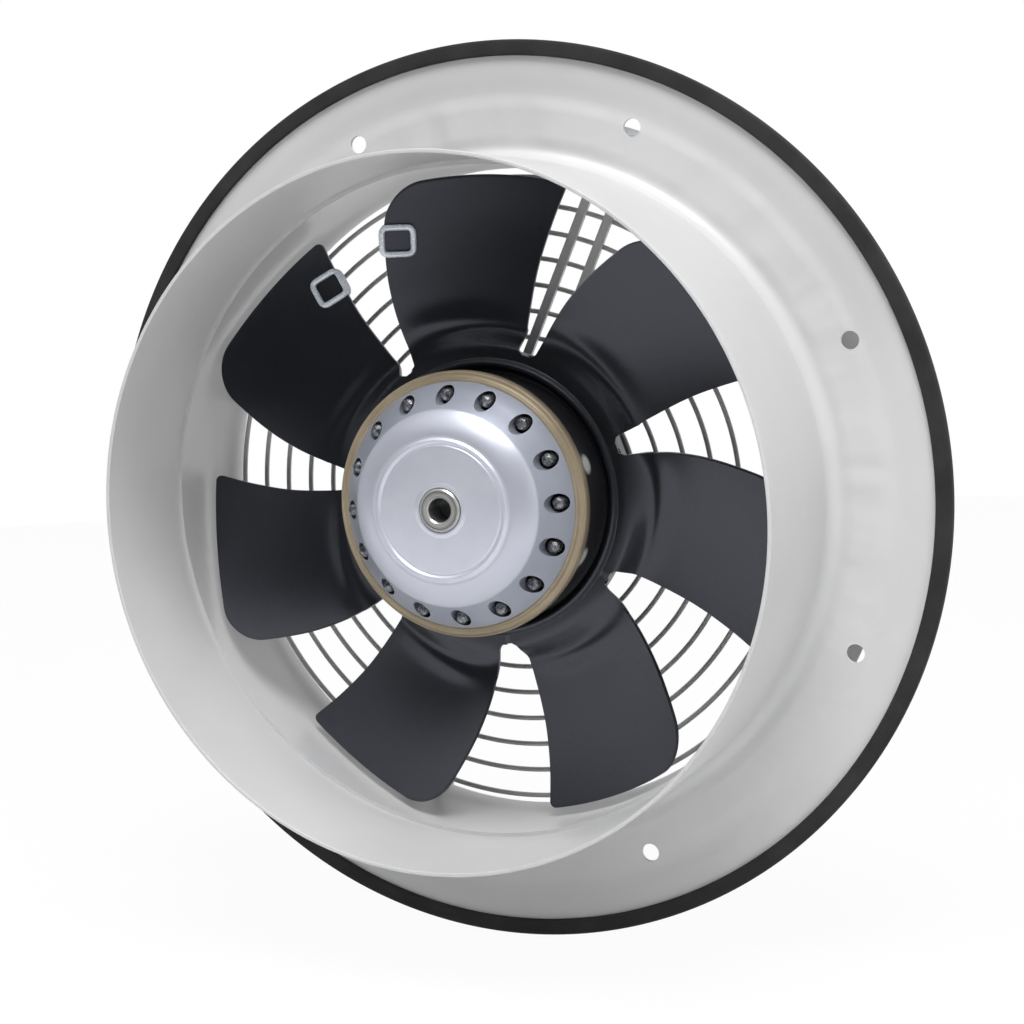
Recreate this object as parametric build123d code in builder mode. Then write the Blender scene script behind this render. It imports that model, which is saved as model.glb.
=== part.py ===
from build123d import *
import math
import os

# Axial wall fan: wall ring with duct, wire guard, external-rotor motor and seven-bladed impeller.
# Millimetres. The fan's axis is Y, Z is up, and the outlet side faces -Y. The origin is the centre of the bolt
# circle, in the flange's front face. Heights below run along the axis, positive towards the outlet side.

# Sizes that the others follow
SHEET = 1.5
TIP_R = 125.3
TIP_GAP = 3.7
DRUM_R = 48.6

# Wall ring and duct
DUCT_R = TIP_R + TIP_GAP + SHEET
DUCT_H = 81.2
BEND_R = 6.0
LIP_H = 1.2
PANEL_H = 0.0
STEP_R = DUCT_R + 30.5
FLANGE_R = STEP_R + 15.0
BOLT_CIRCLE_R = STEP_R - 8.5
BOLT_COUNT = 8
BOLT_D = 7.0
BOLT_START = 22.5

# Seal on the flange's rim
SEAL_T = 2.0
SEAL_H = LIP_H + SEAL_T
SEAL_R = FLANGE_R + SEAL_T
SEAL_W = 6.2
SEAL_EDGE = 0.7

# Inlet ring
INLET_FRONT = 31.0
INLET_BACK = -25.6
FLARE_R = 8.3
INLET_LIP_R = DUCT_R + 20.5

# Guard
WIRE_R = 1.0
BASE_R = 44.0
RING_FIRST = BASE_R + 7.3
RING_LAST = DUCT_R - 5.0
RING_COUNT = 8
RING_H = -14.5
WELD = 0.2
ARM_W = 3.6
ARM_T = 2.0
ARM_OFFSETS = (15.2, 3.9)
ARM_COUNT = 4
ARM_ANGLE = 66.0
ARM_INNER = BASE_R + 2.0
ARM_BEND = DUCT_R - 4.5
ARM_LAND = DUCT_R - 0.9
ARM_END = INLET_LIP_R - 2.0
RIM_WIRE_R = 1.5
RIM_R = DUCT_R + 6.0
FOOT_W = 22.0
FOOT_L = 10.0
FOOT_T = 1.5
FOOT_R = INLET_LIP_R - 6.5
FOOT_SCREW_R = 2.5
FOOT_HEAD_R = 4.6

# Motor support
PLATE_T = 1.5
BASE_T = 3.0
SCREW_PCD = 64.0
SCREW_COUNT = 4
SCREW_R = 2.0
HEAD_R = 3.5
HEAD_T = 2.4
CABLE_AT = 25.0
CABLE_R = 5.5

# Bearings
SHAFT_R = 5.0
BEARING_R = 13.0
BEARING_W = 8.0
RACE_STEP = 2.3
BALL_R = 2.38
BALL_FIT = 0.05
BALL_COUNT = 7
CAGE_W = 6.4
TUBE_T = 3.0
TUBE_TOP = 42.2
FRONT_BEARING = 33.2
REAR_BEARING = -5.4
STOP_R = 11.6

# Stator
STACK_BACK = 1.2
STACK_L = 26.0
STATOR_R = DRUM_R - 8.4
AIR_GAP = 0.4
TOOTH_COUNT = 12
TOOTH_W = 7.0
TIP_T = 2.4
TIP_W = 17.0
YOKE_R = STATOR_R - 17.7
CAP_T = 1.0
COIL_SIDE = 2.3
COIL_END = 3.2
COIL_IN = YOKE_R + 2.5
COIL_OUT = STATOR_R - 3.8

# Rotor
DRUM_T = 1.5
DRUM_BACK = -8.8
CONE_H = 42.2
DRUM_FRONT = CONE_H - 5.5
CAGE_T = 5.0
STUD_COUNT = 16
STUD_CIRCLE = DRUM_R - 6.4
STUD_R = 2.4
STUD_TOP = 46.4
STUD_HOLE_R = 3.6
STUD_START = 2.5
DISC_R = 24.0
DISC_H = 59.2
DOME_R = DRUM_R - 11.6
DOME_H = 54.2
CONE_R = DRUM_R - 1.6
CAP_WALL = 3.0
BEIGE_R = DRUM_R + 2.4
HEAD_RING_R = 8.15
HEAD_RING_H = 60.4
HEAD_BORE_R = 4.5
HEAD_BORE_L = 12.0
HUB_R = 14.0
HUB_BACK = 45.2
HEAD_RING_BACK = 47.2

# Impeller
BLADE_COUNT = 7
BLADE_T = 1.5
ROOT_R = DRUM_R + 9.4
COLLAR_T = 1.6
COLLAR_BACK = -2.8
RIM_H = 16.0
RIM_L = 8.0
GROOVE = 1.6
BEAD_W = 4.4
BEAD_H = 1.5
BLADE_MID = -10.0
BLADE_MARGIN = 7.0
CUT_BACK = -20.0
CUT_L = 60.0
# Stations from root to tip: share of the blade's length, angle and height of both edges, and the camber
SHARES = (0.0, 0.2, 0.465, 0.73, 0.99)
TRAILING_ANGLES = (16.6, 14.4, 10.8, 6.5, 2.4)
TRAILING_HEIGHTS = (16.6, 18.2, 21.8, 25.6, 28.7)
LEADING_ANGLES = (-27.8, -26.6, -26.4, -27.5, -29.1)
LEADING_HEIGHTS = (15.4, 10.6, 8.6, 8.8, 9.8)
CAMBERS = (0.3, 1.4, 2.6, 3.2, 3.6)
TRAILING_CORNER = 13.0
LEADING_CORNER = 3.0

# Balance clips, bent over the edges of two blades
CLIP_WIRE = 1.6
CLIP_W = 12.0
CLIP_L = 12.5
CLIP_ROW = 3
CLIP_BLADES = (3, 4)

PITCH = 360.0 / BLADE_COUNT
STATION_RADII = [ROOT_R + share * (TIP_R - ROOT_R) for share in SHARES]
TRAILING = list(zip(STATION_RADII, TRAILING_ANGLES, TRAILING_HEIGHTS))
LEADING = list(zip(STATION_RADII, LEADING_ANGLES, LEADING_HEIGHTS))
SECTION = Plane(origin=(0, 0, 0), x_dir=(1, 0, 0), z_dir=(0, 0, -1))
FRONT = Plane.XZ

os.makedirs("parts", exist_ok=True)
built = {}


def save(body, name):
    """Names the finished piece and writes its file."""
    body.part.label = name
    export_step(body.part, "parts/" + name + ".step")
    built[name] = body.part


def polar(radius, angle):
    """Point in the fan's front view."""
    turn = math.radians(angle)
    return (radius * math.cos(turn), radius * math.sin(turn))


def outline(*points):
    """Closed outline through the points, as a face of the sketch in use."""
    with BuildLine() as edge:
        Polyline(*points, close=True)
    make_face(edge.edges())


# Wall ring: flange and duct of one sheet
bend_r = DUCT_R + SHEET + BEND_R
bend_h = PANEL_H + BEND_R
corner = math.sqrt(0.5)
step = LIP_H - PANEL_H
with BuildPart() as wall_ring:
    with BuildSketch(SECTION):
        with BuildLine():
            Polyline((bend_r - BEND_R, bend_h), (bend_r - BEND_R, DUCT_H), (DUCT_R, DUCT_H), (DUCT_R, bend_h))
            inner_bend = BEND_R + SHEET
            ThreePointArc(
                (DUCT_R, bend_h),
                (bend_r - inner_bend * corner, bend_h - inner_bend * corner),
                (bend_r, PANEL_H - SHEET),
            )
            Polyline(
                (bend_r, PANEL_H - SHEET),
                (STEP_R, PANEL_H - SHEET),
                (STEP_R + step, LIP_H - SHEET),
                (FLANGE_R, LIP_H - SHEET),
                (FLANGE_R, LIP_H),
                (STEP_R + step - SHEET / 2, LIP_H),
                (STEP_R - SHEET / 2, PANEL_H),
                (bend_r, PANEL_H),
            )
            ThreePointArc(
                (bend_r, PANEL_H),
                (bend_r - BEND_R * corner, bend_h - BEND_R * corner),
                (bend_r - BEND_R, bend_h),
            )
        make_face()
    revolve(axis=Axis.Y)
    with BuildSketch(FRONT.offset(PANEL_H)):
        with PolarLocations(BOLT_CIRCLE_R, BOLT_COUNT, start_angle=BOLT_START):
            Circle(BOLT_D / 2)
    extrude(amount=-SHEET, mode=Mode.SUBTRACT)
save(wall_ring, "wall_ring")

# Seal: a U-shaped edging pushed over the flange's rim
seal_in = SEAL_R - SEAL_W
seal_back = LIP_H - SHEET - SEAL_T
with BuildPart() as seal_band:
    with BuildSketch(SECTION):
        outline(
            (seal_in, LIP_H),
            (seal_in, SEAL_H),
            (SEAL_R - SEAL_EDGE, SEAL_H),
            (SEAL_R, SEAL_H - SEAL_EDGE),
            (SEAL_R, seal_back + SEAL_EDGE),
            (SEAL_R - SEAL_EDGE, seal_back),
            (seal_in, seal_back),
            (seal_in, LIP_H - SHEET),
            (FLANGE_R, LIP_H - SHEET),
            (FLANGE_R, LIP_H),
        )
    revolve(axis=Axis.Y)
save(seal_band, "seal_band")

# Inlet ring: second sheet ring inside the duct, flared at the back
flare_r = DUCT_R + FLARE_R
flare_h = INLET_BACK + SHEET + FLARE_R
flare_in = FLARE_R + SHEET
arm_turns = [ARM_ANGLE + 360.0 / ARM_COUNT * i for i in range(ARM_COUNT)]
foot_side = sum(ARM_OFFSETS) / 2


def foot_points():
    """Centre of each guard foot in the front view, between the two bars of its arm."""
    along = math.sqrt(FOOT_R**2 - foot_side**2)
    lean = math.degrees(math.atan2(foot_side, along))
    return [polar(FOOT_R, turn + lean) for turn in arm_turns]


with BuildPart() as inlet_ring:
    with BuildSketch(SECTION):
        with BuildLine():
            Polyline((DUCT_R, flare_h), (DUCT_R, INLET_FRONT), (DUCT_R - SHEET, INLET_FRONT), (DUCT_R - SHEET, flare_h))
            ThreePointArc(
                (DUCT_R - SHEET, flare_h),
                (flare_r - flare_in * corner, flare_h - flare_in * corner),
                (flare_r, INLET_BACK),
            )
            Polyline(
                (flare_r, INLET_BACK),
                (INLET_LIP_R, INLET_BACK),
                (INLET_LIP_R, INLET_BACK + SHEET),
                (flare_r, INLET_BACK + SHEET),
            )
            ThreePointArc(
                (flare_r, INLET_BACK + SHEET),
                (flare_r - FLARE_R * corner, flare_h - FLARE_R * corner),
                (DUCT_R, flare_h),
            )
        make_face()
    revolve(axis=Axis.Y)
    with BuildSketch(FRONT.offset(INLET_BACK)):
        with Locations(*foot_points()):
            Circle(FOOT_SCREW_R)
    extrude(amount=SHEET, mode=Mode.SUBTRACT)
save(inlet_ring, "inlet_ring")

# Guard: concentric wires
arm_back = RING_H + WIRE_R - WELD
arm_land = INLET_BACK - ARM_T
rim_h = arm_land - RIM_WIRE_R + WELD
ring_pitch = (RING_LAST - RING_FIRST) / (RING_COUNT - 1)
ring_radii = [RING_FIRST + ring_pitch * i for i in range(RING_COUNT)]


def wire_ring(radius, height, wire):
    """Section of one ring of round wire, drawn as an octagon."""
    points = [(radius + wire * math.cos(a), height + wire * math.sin(a)) for a in octagon]
    outline(*points)


octagon = [math.radians(22.5 + 45.0 * i) for i in range(8)]
with BuildPart() as guard_rings:
    with BuildSketch(SECTION):
        for radius in ring_radii:
            wire_ring(radius, RING_H, WIRE_R)
    revolve(axis=Axis.Y)
save(guard_rings, "guard_rings")

with BuildPart() as guard_rim:
    with BuildSketch(SECTION):
        wire_ring(RIM_R, rim_h, RIM_WIRE_R)
    revolve(axis=Axis.Y)
save(guard_rim, "guard_rim")


def bar_outline(offset):
    """Side view of one bar of the guard: flat inside, cranked back round the inlet ring, flat on its lip."""
    reach = [math.sqrt(r**2 - offset**2) for r in (ARM_INNER, ARM_BEND, ARM_LAND, ARM_END)]
    outline(
        (reach[0], arm_back),
        (reach[1] - 1.0, arm_back),
        (reach[2] - 1.0, arm_land),
        (reach[3], arm_land),
        (reach[3], INLET_BACK),
        (reach[2] + 1.0, INLET_BACK),
        (reach[1] + 1.0, arm_back + ARM_T),
        (reach[0], arm_back + ARM_T),
    )


for number, turn in enumerate(arm_turns, start=1):
    ahead = Vector(*polar(1, turn))
    side = Vector(*polar(1, turn + 90))
    with BuildPart() as guard_arm:
        for offset in ARM_OFFSETS:
            start = side * offset
            side_view = Plane(
                origin=(start.X, 0, start.Y), x_dir=(ahead.X, 0, ahead.Y), z_dir=(-side.X, 0, -side.Y)
            )
            if side_view.y_dir.Y > 0:
                side_view = Plane(origin=side_view.origin, x_dir=side_view.x_dir, z_dir=-side_view.z_dir)
            with BuildSketch(side_view):
                bar_outline(offset)
            extrude(amount=ARM_W / 2, both=True)
        add(guard_rings.part, mode=Mode.SUBTRACT)
        add(guard_rim.part, mode=Mode.SUBTRACT)
    save(guard_arm, "guard_arm_pair_" + str(number))

# Feet of the guard, with their screws and nuts
foot_back = arm_land - FOOT_T
with BuildPart() as guard_feet:
    for turn, centre in zip(arm_turns, foot_points()):
        with BuildSketch(FRONT.offset(foot_back)):
            with Locations(Location(centre, turn)):
                RectangleRounded(FOOT_L, FOOT_W, 2.0)
            with Locations(centre):
                Circle(FOOT_SCREW_R, mode=Mode.SUBTRACT)
        extrude(amount=FOOT_T)
save(guard_feet, "guard_feet")

nut_t = 4.0
with BuildPart() as guard_screws:
    with BuildSketch(FRONT.offset(foot_back)):
        with Locations(*foot_points()):
            Circle(FOOT_SCREW_R)
    extrude(amount=INLET_BACK + SHEET + nut_t + 1.0 - foot_back)
    with BuildSketch(FRONT.offset(foot_back)):
        with Locations(*foot_points()):
            Circle(FOOT_HEAD_R)
    extrude(amount=-3.0)
save(guard_screws, "guard_screws")

with BuildPart() as guard_nuts:
    with BuildSketch(FRONT.offset(INLET_BACK + SHEET)):
        with Locations(*foot_points()):
            RegularPolygon(4.6, 6)
            Circle(FOOT_SCREW_R, mode=Mode.SUBTRACT)
    extrude(amount=nut_t)
save(guard_nuts, "guard_nuts")

# Motor plate in the middle of the guard
plate_front = arm_back
plate_r = RING_FIRST - WIRE_R
base_back = plate_front
base_front = base_back + BASE_T
with BuildPart() as motor_plate:
    with BuildSketch(FRONT.offset(plate_front)):
        Circle(plate_r)
        with PolarLocations(SCREW_PCD / 2, SCREW_COUNT, start_angle=45):
            Circle(SCREW_R, mode=Mode.SUBTRACT)
        with Locations((0, -CABLE_AT)):
            Circle(CABLE_R + 2.5, mode=Mode.SUBTRACT)
    extrude(amount=-PLATE_T)
    add(guard_rings.part, mode=Mode.SUBTRACT)
save(motor_plate, "motor_plate")

# Stator flange, its screws and the cable grommet
with BuildPart() as stator_flange:
    with BuildSketch(FRONT.offset(base_back)):
        Circle(BASE_R)
        with PolarLocations(SCREW_PCD / 2, SCREW_COUNT, start_angle=45):
            Circle(SCREW_R, mode=Mode.SUBTRACT)
        with Locations((0, -CABLE_AT)):
            Circle(CABLE_R, mode=Mode.SUBTRACT)
        Circle(BEARING_R + TUBE_T, mode=Mode.SUBTRACT)
    extrude(amount=BASE_T)
save(stator_flange, "stator_flange")

with BuildPart() as motor_screws:
    with BuildSketch(FRONT.offset(base_front)):
        with PolarLocations(SCREW_PCD / 2, SCREW_COUNT, start_angle=45):
            Circle(SCREW_R)
    extrude(amount=-(BASE_T + PLATE_T))
    with BuildSketch(FRONT.offset(plate_front - PLATE_T)):
        with PolarLocations(SCREW_PCD / 2, SCREW_COUNT, start_angle=45):
            Circle(HEAD_R)
    extrude(amount=-HEAD_T)
save(motor_screws, "motor_screws")

with BuildPart() as cable_grommet:
    with BuildSketch(FRONT.offset(plate_front - PLATE_T)):
        with Locations((0, -CABLE_AT)):
            Circle(CABLE_R + 1.6)
    extrude(amount=PLATE_T)
    with BuildSketch(FRONT.offset(base_back)):
        with Locations((0, -CABLE_AT)):
            Circle(CABLE_R)
    extrude(amount=BASE_T)
    with BuildSketch(FRONT.offset(base_back - PLATE_T)):
        with Locations((0, -CABLE_AT)):
            Circle(CABLE_R - 2.2)
    extrude(amount=PLATE_T + BASE_T, mode=Mode.SUBTRACT)
save(cable_grommet, "cable_grommet")

# Bearing tube, closed at the back
front_seat = FRONT_BEARING
rear_seat = REAR_BEARING + BEARING_W
washer_t = 0.6
with BuildPart() as bearing_tube:
    with BuildSketch(SECTION):
        outline(
            (0, base_back),
            (BEARING_R + TUBE_T, base_back),
            (BEARING_R + TUBE_T, TUBE_TOP),
            (BEARING_R, TUBE_TOP),
            (BEARING_R, front_seat),
            (STOP_R, front_seat),
            (STOP_R, rear_seat + washer_t),
            (BEARING_R, rear_seat + washer_t),
            (BEARING_R, base_back + 2.0),
            (0, base_back + 2.0),
        )
    revolve(axis=Axis.Y)
save(bearing_tube, "bearing_tube")

# Ball bearings: outer ring, inner ring, balls and cage
race_mid = (SHAFT_R + BEARING_R) / 2
for place, back in (("front", FRONT_BEARING), ("rear", REAR_BEARING)):
    middle = back + BEARING_W / 2
    with BuildPart() as outer_ring:
        with BuildSketch(SECTION):
            with Locations((BEARING_R - RACE_STEP / 2, middle)):
                Rectangle(RACE_STEP, BEARING_W)
            with Locations((race_mid, middle)):
                Circle(BALL_R + BALL_FIT, mode=Mode.SUBTRACT)
        revolve(axis=Axis.Y)
    save(outer_ring, place + "_bearing_outer_ring")
    with BuildPart() as inner_ring:
        with BuildSketch(SECTION):
            with Locations((SHAFT_R + RACE_STEP / 2, middle)):
                Rectangle(RACE_STEP, BEARING_W)
            with Locations((race_mid, middle)):
                Circle(BALL_R + BALL_FIT, mode=Mode.SUBTRACT)
        revolve(axis=Axis.Y)
    save(inner_ring, place + "_bearing_inner_ring")
    with BuildPart() as balls:
        with Locations(FRONT.offset(middle)):
            with PolarLocations(race_mid, BALL_COUNT):
                Sphere(BALL_R)
    save(balls, place + "_bearing_balls")
    with BuildPart() as cage:
        with BuildSketch(FRONT.offset(middle - CAGE_W / 2)):
            Circle(race_mid + 0.7)
            Circle(race_mid - 0.7, mode=Mode.SUBTRACT)
        extrude(amount=CAGE_W)
        with Locations(FRONT.offset(middle)):
            with PolarLocations(race_mid, BALL_COUNT):
                Cylinder(BALL_R + BALL_FIT, BEARING_W / 2, rotation=(0, 90, 0), mode=Mode.SUBTRACT)
    save(cage, place + "_bearing_cage")

with BuildPart() as preload_washer:
    with BuildSketch(FRONT.offset(rear_seat)):
        Circle(BEARING_R)
        Circle(STOP_R, mode=Mode.SUBTRACT)
    extrude(amount=washer_t)
save(preload_washer, "preload_washer")

# Stator: laminated core, end insulation and coils
with BuildPart() as stator_core:
    with BuildSketch(FRONT.offset(STACK_BACK)):
        Circle(STATOR_R)
        Circle(STATOR_R - TIP_T, mode=Mode.SUBTRACT)
        with PolarLocations(STATOR_R, TOOTH_COUNT, start_angle=180.0 / TOOTH_COUNT):
            Rectangle(4 * TIP_T, 2 * math.pi * STATOR_R / TOOTH_COUNT - TIP_W, mode=Mode.SUBTRACT)
        Circle(YOKE_R)
        with PolarLocations((YOKE_R + STATOR_R - TIP_T) / 2, TOOTH_COUNT):
            Rectangle(STATOR_R - TIP_T - YOKE_R + 2.0, TOOTH_W)
        Circle(BEARING_R + TUBE_T, mode=Mode.SUBTRACT)
    extrude(amount=STACK_L)
save(stator_core, "stator_core")

with BuildPart() as stator_insulation:
    for height in (STACK_BACK - CAP_T, STACK_BACK + STACK_L):
        with BuildSketch(FRONT.offset(height)):
            Circle(YOKE_R)
            with PolarLocations((YOKE_R + STATOR_R - TIP_T) / 2, TOOTH_COUNT):
                Rectangle(STATOR_R - TIP_T - YOKE_R + 2.0, TOOTH_W)
            Circle(BEARING_R + TUBE_T + 1.0, mode=Mode.SUBTRACT)
        extrude(amount=CAP_T)
save(stator_insulation, "stator_insulation")

coil_l = COIL_OUT - COIL_IN
with BuildPart() as stator_windings:
    with BuildSketch(FRONT.offset(STACK_BACK - CAP_T - COIL_END)):
        with PolarLocations((COIL_IN + COIL_OUT) / 2, TOOTH_COUNT):
            Rectangle(coil_l, TOOTH_W + 2 * COIL_SIDE)
    extrude(amount=STACK_L + 2 * (CAP_T + COIL_END))
    with BuildSketch(FRONT.offset(STACK_BACK - CAP_T)):
        with PolarLocations((COIL_IN + COIL_OUT) / 2, TOOTH_COUNT):
            Rectangle(coil_l + 1.0, TOOTH_W)
    extrude(amount=STACK_L + 2 * CAP_T, mode=Mode.SUBTRACT)
save(stator_windings, "stator_windings")

# Rotor: drum, laminated core, cast cage with its studs
core_r = DRUM_R - DRUM_T
with BuildPart() as rotor_drum:
    with BuildSketch(FRONT.offset(DRUM_BACK)):
        Circle(DRUM_R)
        Circle(core_r, mode=Mode.SUBTRACT)
    extrude(amount=DRUM_FRONT - DRUM_BACK)
save(rotor_drum, "rotor_drum")

rotor_in = STATOR_R + AIR_GAP
with BuildPart() as rotor_core:
    with BuildSketch(FRONT.offset(STACK_BACK)):
        Circle(core_r)
        Circle(rotor_in, mode=Mode.SUBTRACT)
    extrude(amount=STACK_L)
save(rotor_core, "rotor_core")

with BuildPart() as rotor_cage:
    for height in (STACK_BACK - CAGE_T, STACK_BACK + STACK_L):
        with BuildSketch(FRONT.offset(height)):
            Circle(core_r)
            Circle(rotor_in, mode=Mode.SUBTRACT)
        extrude(amount=CAGE_T)
    with BuildSketch(FRONT.offset(STACK_BACK + STACK_L)):
        with PolarLocations(STUD_CIRCLE, STUD_COUNT, start_angle=STUD_START):
            Circle(STUD_R)
    extrude(amount=STUD_TOP - STACK_BACK - STACK_L)
save(rotor_cage, "rotor_cage")

# Cap of the rotor: disc, dome and sloping annulus with the stud holes
cone_fall = (DOME_H - CONE_H) / (CONE_R - DOME_R)
cone_wall = CAP_WALL * math.sqrt(1 + cone_fall**2)
with BuildPart() as rotor_cap:
    with BuildSketch(SECTION):
        with BuildLine():
            Polyline((HEAD_RING_R, DISC_H - 3.6), (HEAD_RING_R + 1.0, DISC_H - 3.6), (HEAD_RING_R + 1.0, DISC_H + 0.6))
            Polyline(
                (HEAD_RING_R + 1.0, DISC_H + 0.6),
                (HEAD_RING_R + 2.0, DISC_H + 0.6),
                (HEAD_RING_R + 2.6, DISC_H),
                (DISC_R - 1.6, DISC_H),
            )
            ThreePointArc((DISC_R - 1.6, DISC_H), (DISC_R, DISC_H + 0.6), (DISC_R + 1.6, DISC_H - 0.2))
            ThreePointArc(
                (DISC_R + 1.6, DISC_H - 0.2),
                ((DISC_R + DOME_R) / 2 + 1.2, (DISC_H + DOME_H) / 2 + 0.9),
                (DOME_R, DOME_H),
            )
            Polyline(
                (DOME_R, DOME_H),
                (CONE_R, CONE_H),
                (CONE_R, CONE_H - cone_wall),
                (CONE_R - 2.4, CONE_H - cone_wall),
                (DOME_R - 2.4, DOME_H - cone_wall + 1.4),
                (DISC_R + 2.0, DISC_H - CAP_WALL - 1.2),
                (HUB_R + 1.0, DISC_H - CAP_WALL - 1.2),
                (HUB_R, DISC_H - CAP_WALL - 2.2),
                (HUB_R, HUB_BACK),
                (HEAD_RING_R, HUB_BACK),
                (HEAD_RING_R, DISC_H - 3.6),
            )
        make_face()
    revolve(axis=Axis.Y)
    with BuildSketch(FRONT.offset(STACK_BACK + STACK_L)):
        with PolarLocations(STUD_CIRCLE, STUD_COUNT, start_angle=STUD_START):
            Circle(STUD_HOLE_R)
    extrude(amount=DISC_H - STACK_BACK - STACK_L, mode=Mode.SUBTRACT)
save(rotor_cap, "rotor_cap")

# Beige ring between the cap and the drum
groove_r = CONE_R + 1.5
with BuildPart() as cap_ring:
    with BuildSketch(SECTION):
        with BuildLine():
            Polyline(
                (core_r - 3.2, DRUM_FRONT),
                (BEIGE_R, DRUM_FRONT),
                (BEIGE_R, DRUM_FRONT + 1.4),
            )
            ThreePointArc(
                (BEIGE_R, DRUM_FRONT + 1.4),
                (BEIGE_R - 0.6, CONE_H - 1.9),
                (groove_r + 0.5, CONE_H - 0.7),
            )
            Polyline(
                (groove_r + 0.5, CONE_H - 0.7),
                (groove_r + 0.3, CONE_H - 1.3),
                (groove_r, CONE_H - 1.3),
                (groove_r - 0.2, CONE_H - 0.4),
                (CONE_R, CONE_H),
                (CONE_R, CONE_H - cone_wall),
                (core_r - 3.2, CONE_H - cone_wall),
                (core_r - 3.2, DRUM_FRONT),
            )
        make_face()
    revolve(axis=Axis.Y)
    with BuildSketch(FRONT.offset(DRUM_FRONT)):
        with PolarLocations(STUD_CIRCLE, STUD_COUNT, start_angle=STUD_START):
            Circle(STUD_HOLE_R)
    extrude(amount=CONE_H - DRUM_FRONT, mode=Mode.SUBTRACT)
save(cap_ring, "cap_ring")

# Shaft with its wide head and blind bore, and the retaining ring at its back end
groove_back = REAR_BEARING - 1.1
clip_t = 1.0
with BuildPart() as shaft:
    with BuildSketch(SECTION):
        outline(
            (0, HEAD_RING_H - HEAD_BORE_L),
            (HEAD_BORE_R, HEAD_RING_H - HEAD_BORE_L),
            (HEAD_BORE_R, HEAD_RING_H - 0.6),
            (HEAD_BORE_R + 0.6, HEAD_RING_H),
            (HEAD_RING_R - 0.6, HEAD_RING_H),
            (HEAD_RING_R, HEAD_RING_H - 0.6),
            (HEAD_RING_R, HEAD_RING_BACK),
            (SHAFT_R, HEAD_RING_BACK),
            (SHAFT_R, groove_back + clip_t),
            (SHAFT_R - 0.5, groove_back + clip_t),
            (SHAFT_R - 0.5, groove_back),
            (SHAFT_R, groove_back),
            (SHAFT_R, base_back + 4.2),
            (SHAFT_R - 0.6, base_back + 3.6),
            (0, base_back + 3.6),
        )
    revolve(axis=Axis.Y)
save(shaft, "shaft")

with BuildPart() as retaining_ring:
    with BuildSketch(FRONT.offset(groove_back)):
        Circle(SHAFT_R + 1.8)
        Circle(SHAFT_R - 0.5, mode=Mode.SUBTRACT)
        with Locations((SHAFT_R + 0.6, 0)):
            Rectangle(4.0, 2.4, mode=Mode.SUBTRACT)
    extrude(amount=clip_t)
save(retaining_ring, "retaining_ring")

# Impeller ring: collar on the drum, a rolled bead, and the turned-down rim that the blades grow from
collar_r = DRUM_R + COLLAR_T
bead_in = collar_r - 0.3
with BuildPart() as impeller_ring:
    with BuildSketch(SECTION):
        with BuildLine():
            Polyline(
                (bead_in, RIM_H - GROOVE),
                (DRUM_R, RIM_H - GROOVE),
                (DRUM_R, COLLAR_BACK),
                (collar_r, COLLAR_BACK),
                (collar_r, RIM_H - GROOVE - BLADE_T),
                (collar_r + 1.4, RIM_H - BLADE_T),
                (ROOT_R - BLADE_T, RIM_H - BLADE_T),
                (ROOT_R - BLADE_T, RIM_H - RIM_L),
                (ROOT_R, RIM_H - RIM_L),
                (ROOT_R, RIM_H),
                (bead_in + BEAD_W, RIM_H),
            )
            ThreePointArc(
                (bead_in + BEAD_W, RIM_H),
                (bead_in + BEAD_W * 0.45, RIM_H + BEAD_H),
                (bead_in, RIM_H - GROOVE),
            )
        make_face()
    revolve(axis=Axis.Y)
save(impeller_ring, "impeller_ring")


# Blades: a curved sheet cut to the outline seen from the front
def blade_station(row):
    """Distance, edge offsets and edge heights of one section across the blade."""
    stations = []
    for radius, angle, height in (LEADING[row], TRAILING[row]):
        turn = math.radians(angle - BLADE_MID)
        stations.append((radius * math.cos(turn), radius * math.sin(turn), height))
    (d_lead, x_lead, h_lead), (d_trail, x_trail, h_trail) = stations
    return (d_lead + d_trail) / 2, x_lead, h_lead, x_trail, h_trail


def blade_section(x_lead, h_lead, x_trail, h_trail, camber):
    """Thin curved section in the sketch in use, a little longer than the blade's chord."""
    slope = (h_trail - h_lead) / (x_trail - x_lead)
    bow = 4 * camber / (x_trail - x_lead)
    x_start = x_lead - BLADE_MARGIN
    x_end = x_trail + BLADE_MARGIN
    h_start = h_lead - (slope - bow) * BLADE_MARGIN
    h_end = h_trail + (slope + bow) * BLADE_MARGIN
    x_mid = (x_lead + x_trail) / 2
    h_mid = (h_lead + h_trail) / 2 - camber
    with BuildLine() as edge:
        ThreePointArc((x_start, h_start), (x_mid, h_mid), (x_end, h_end))
        Line((x_end, h_end), (x_end, h_end - BLADE_T))
        ThreePointArc((x_end, h_end - BLADE_T), (x_mid, h_mid - BLADE_T), (x_start, h_start - BLADE_T))
        Line((x_start, h_start - BLADE_T), (x_start, h_start))
    make_face(edge.edges())


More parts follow.
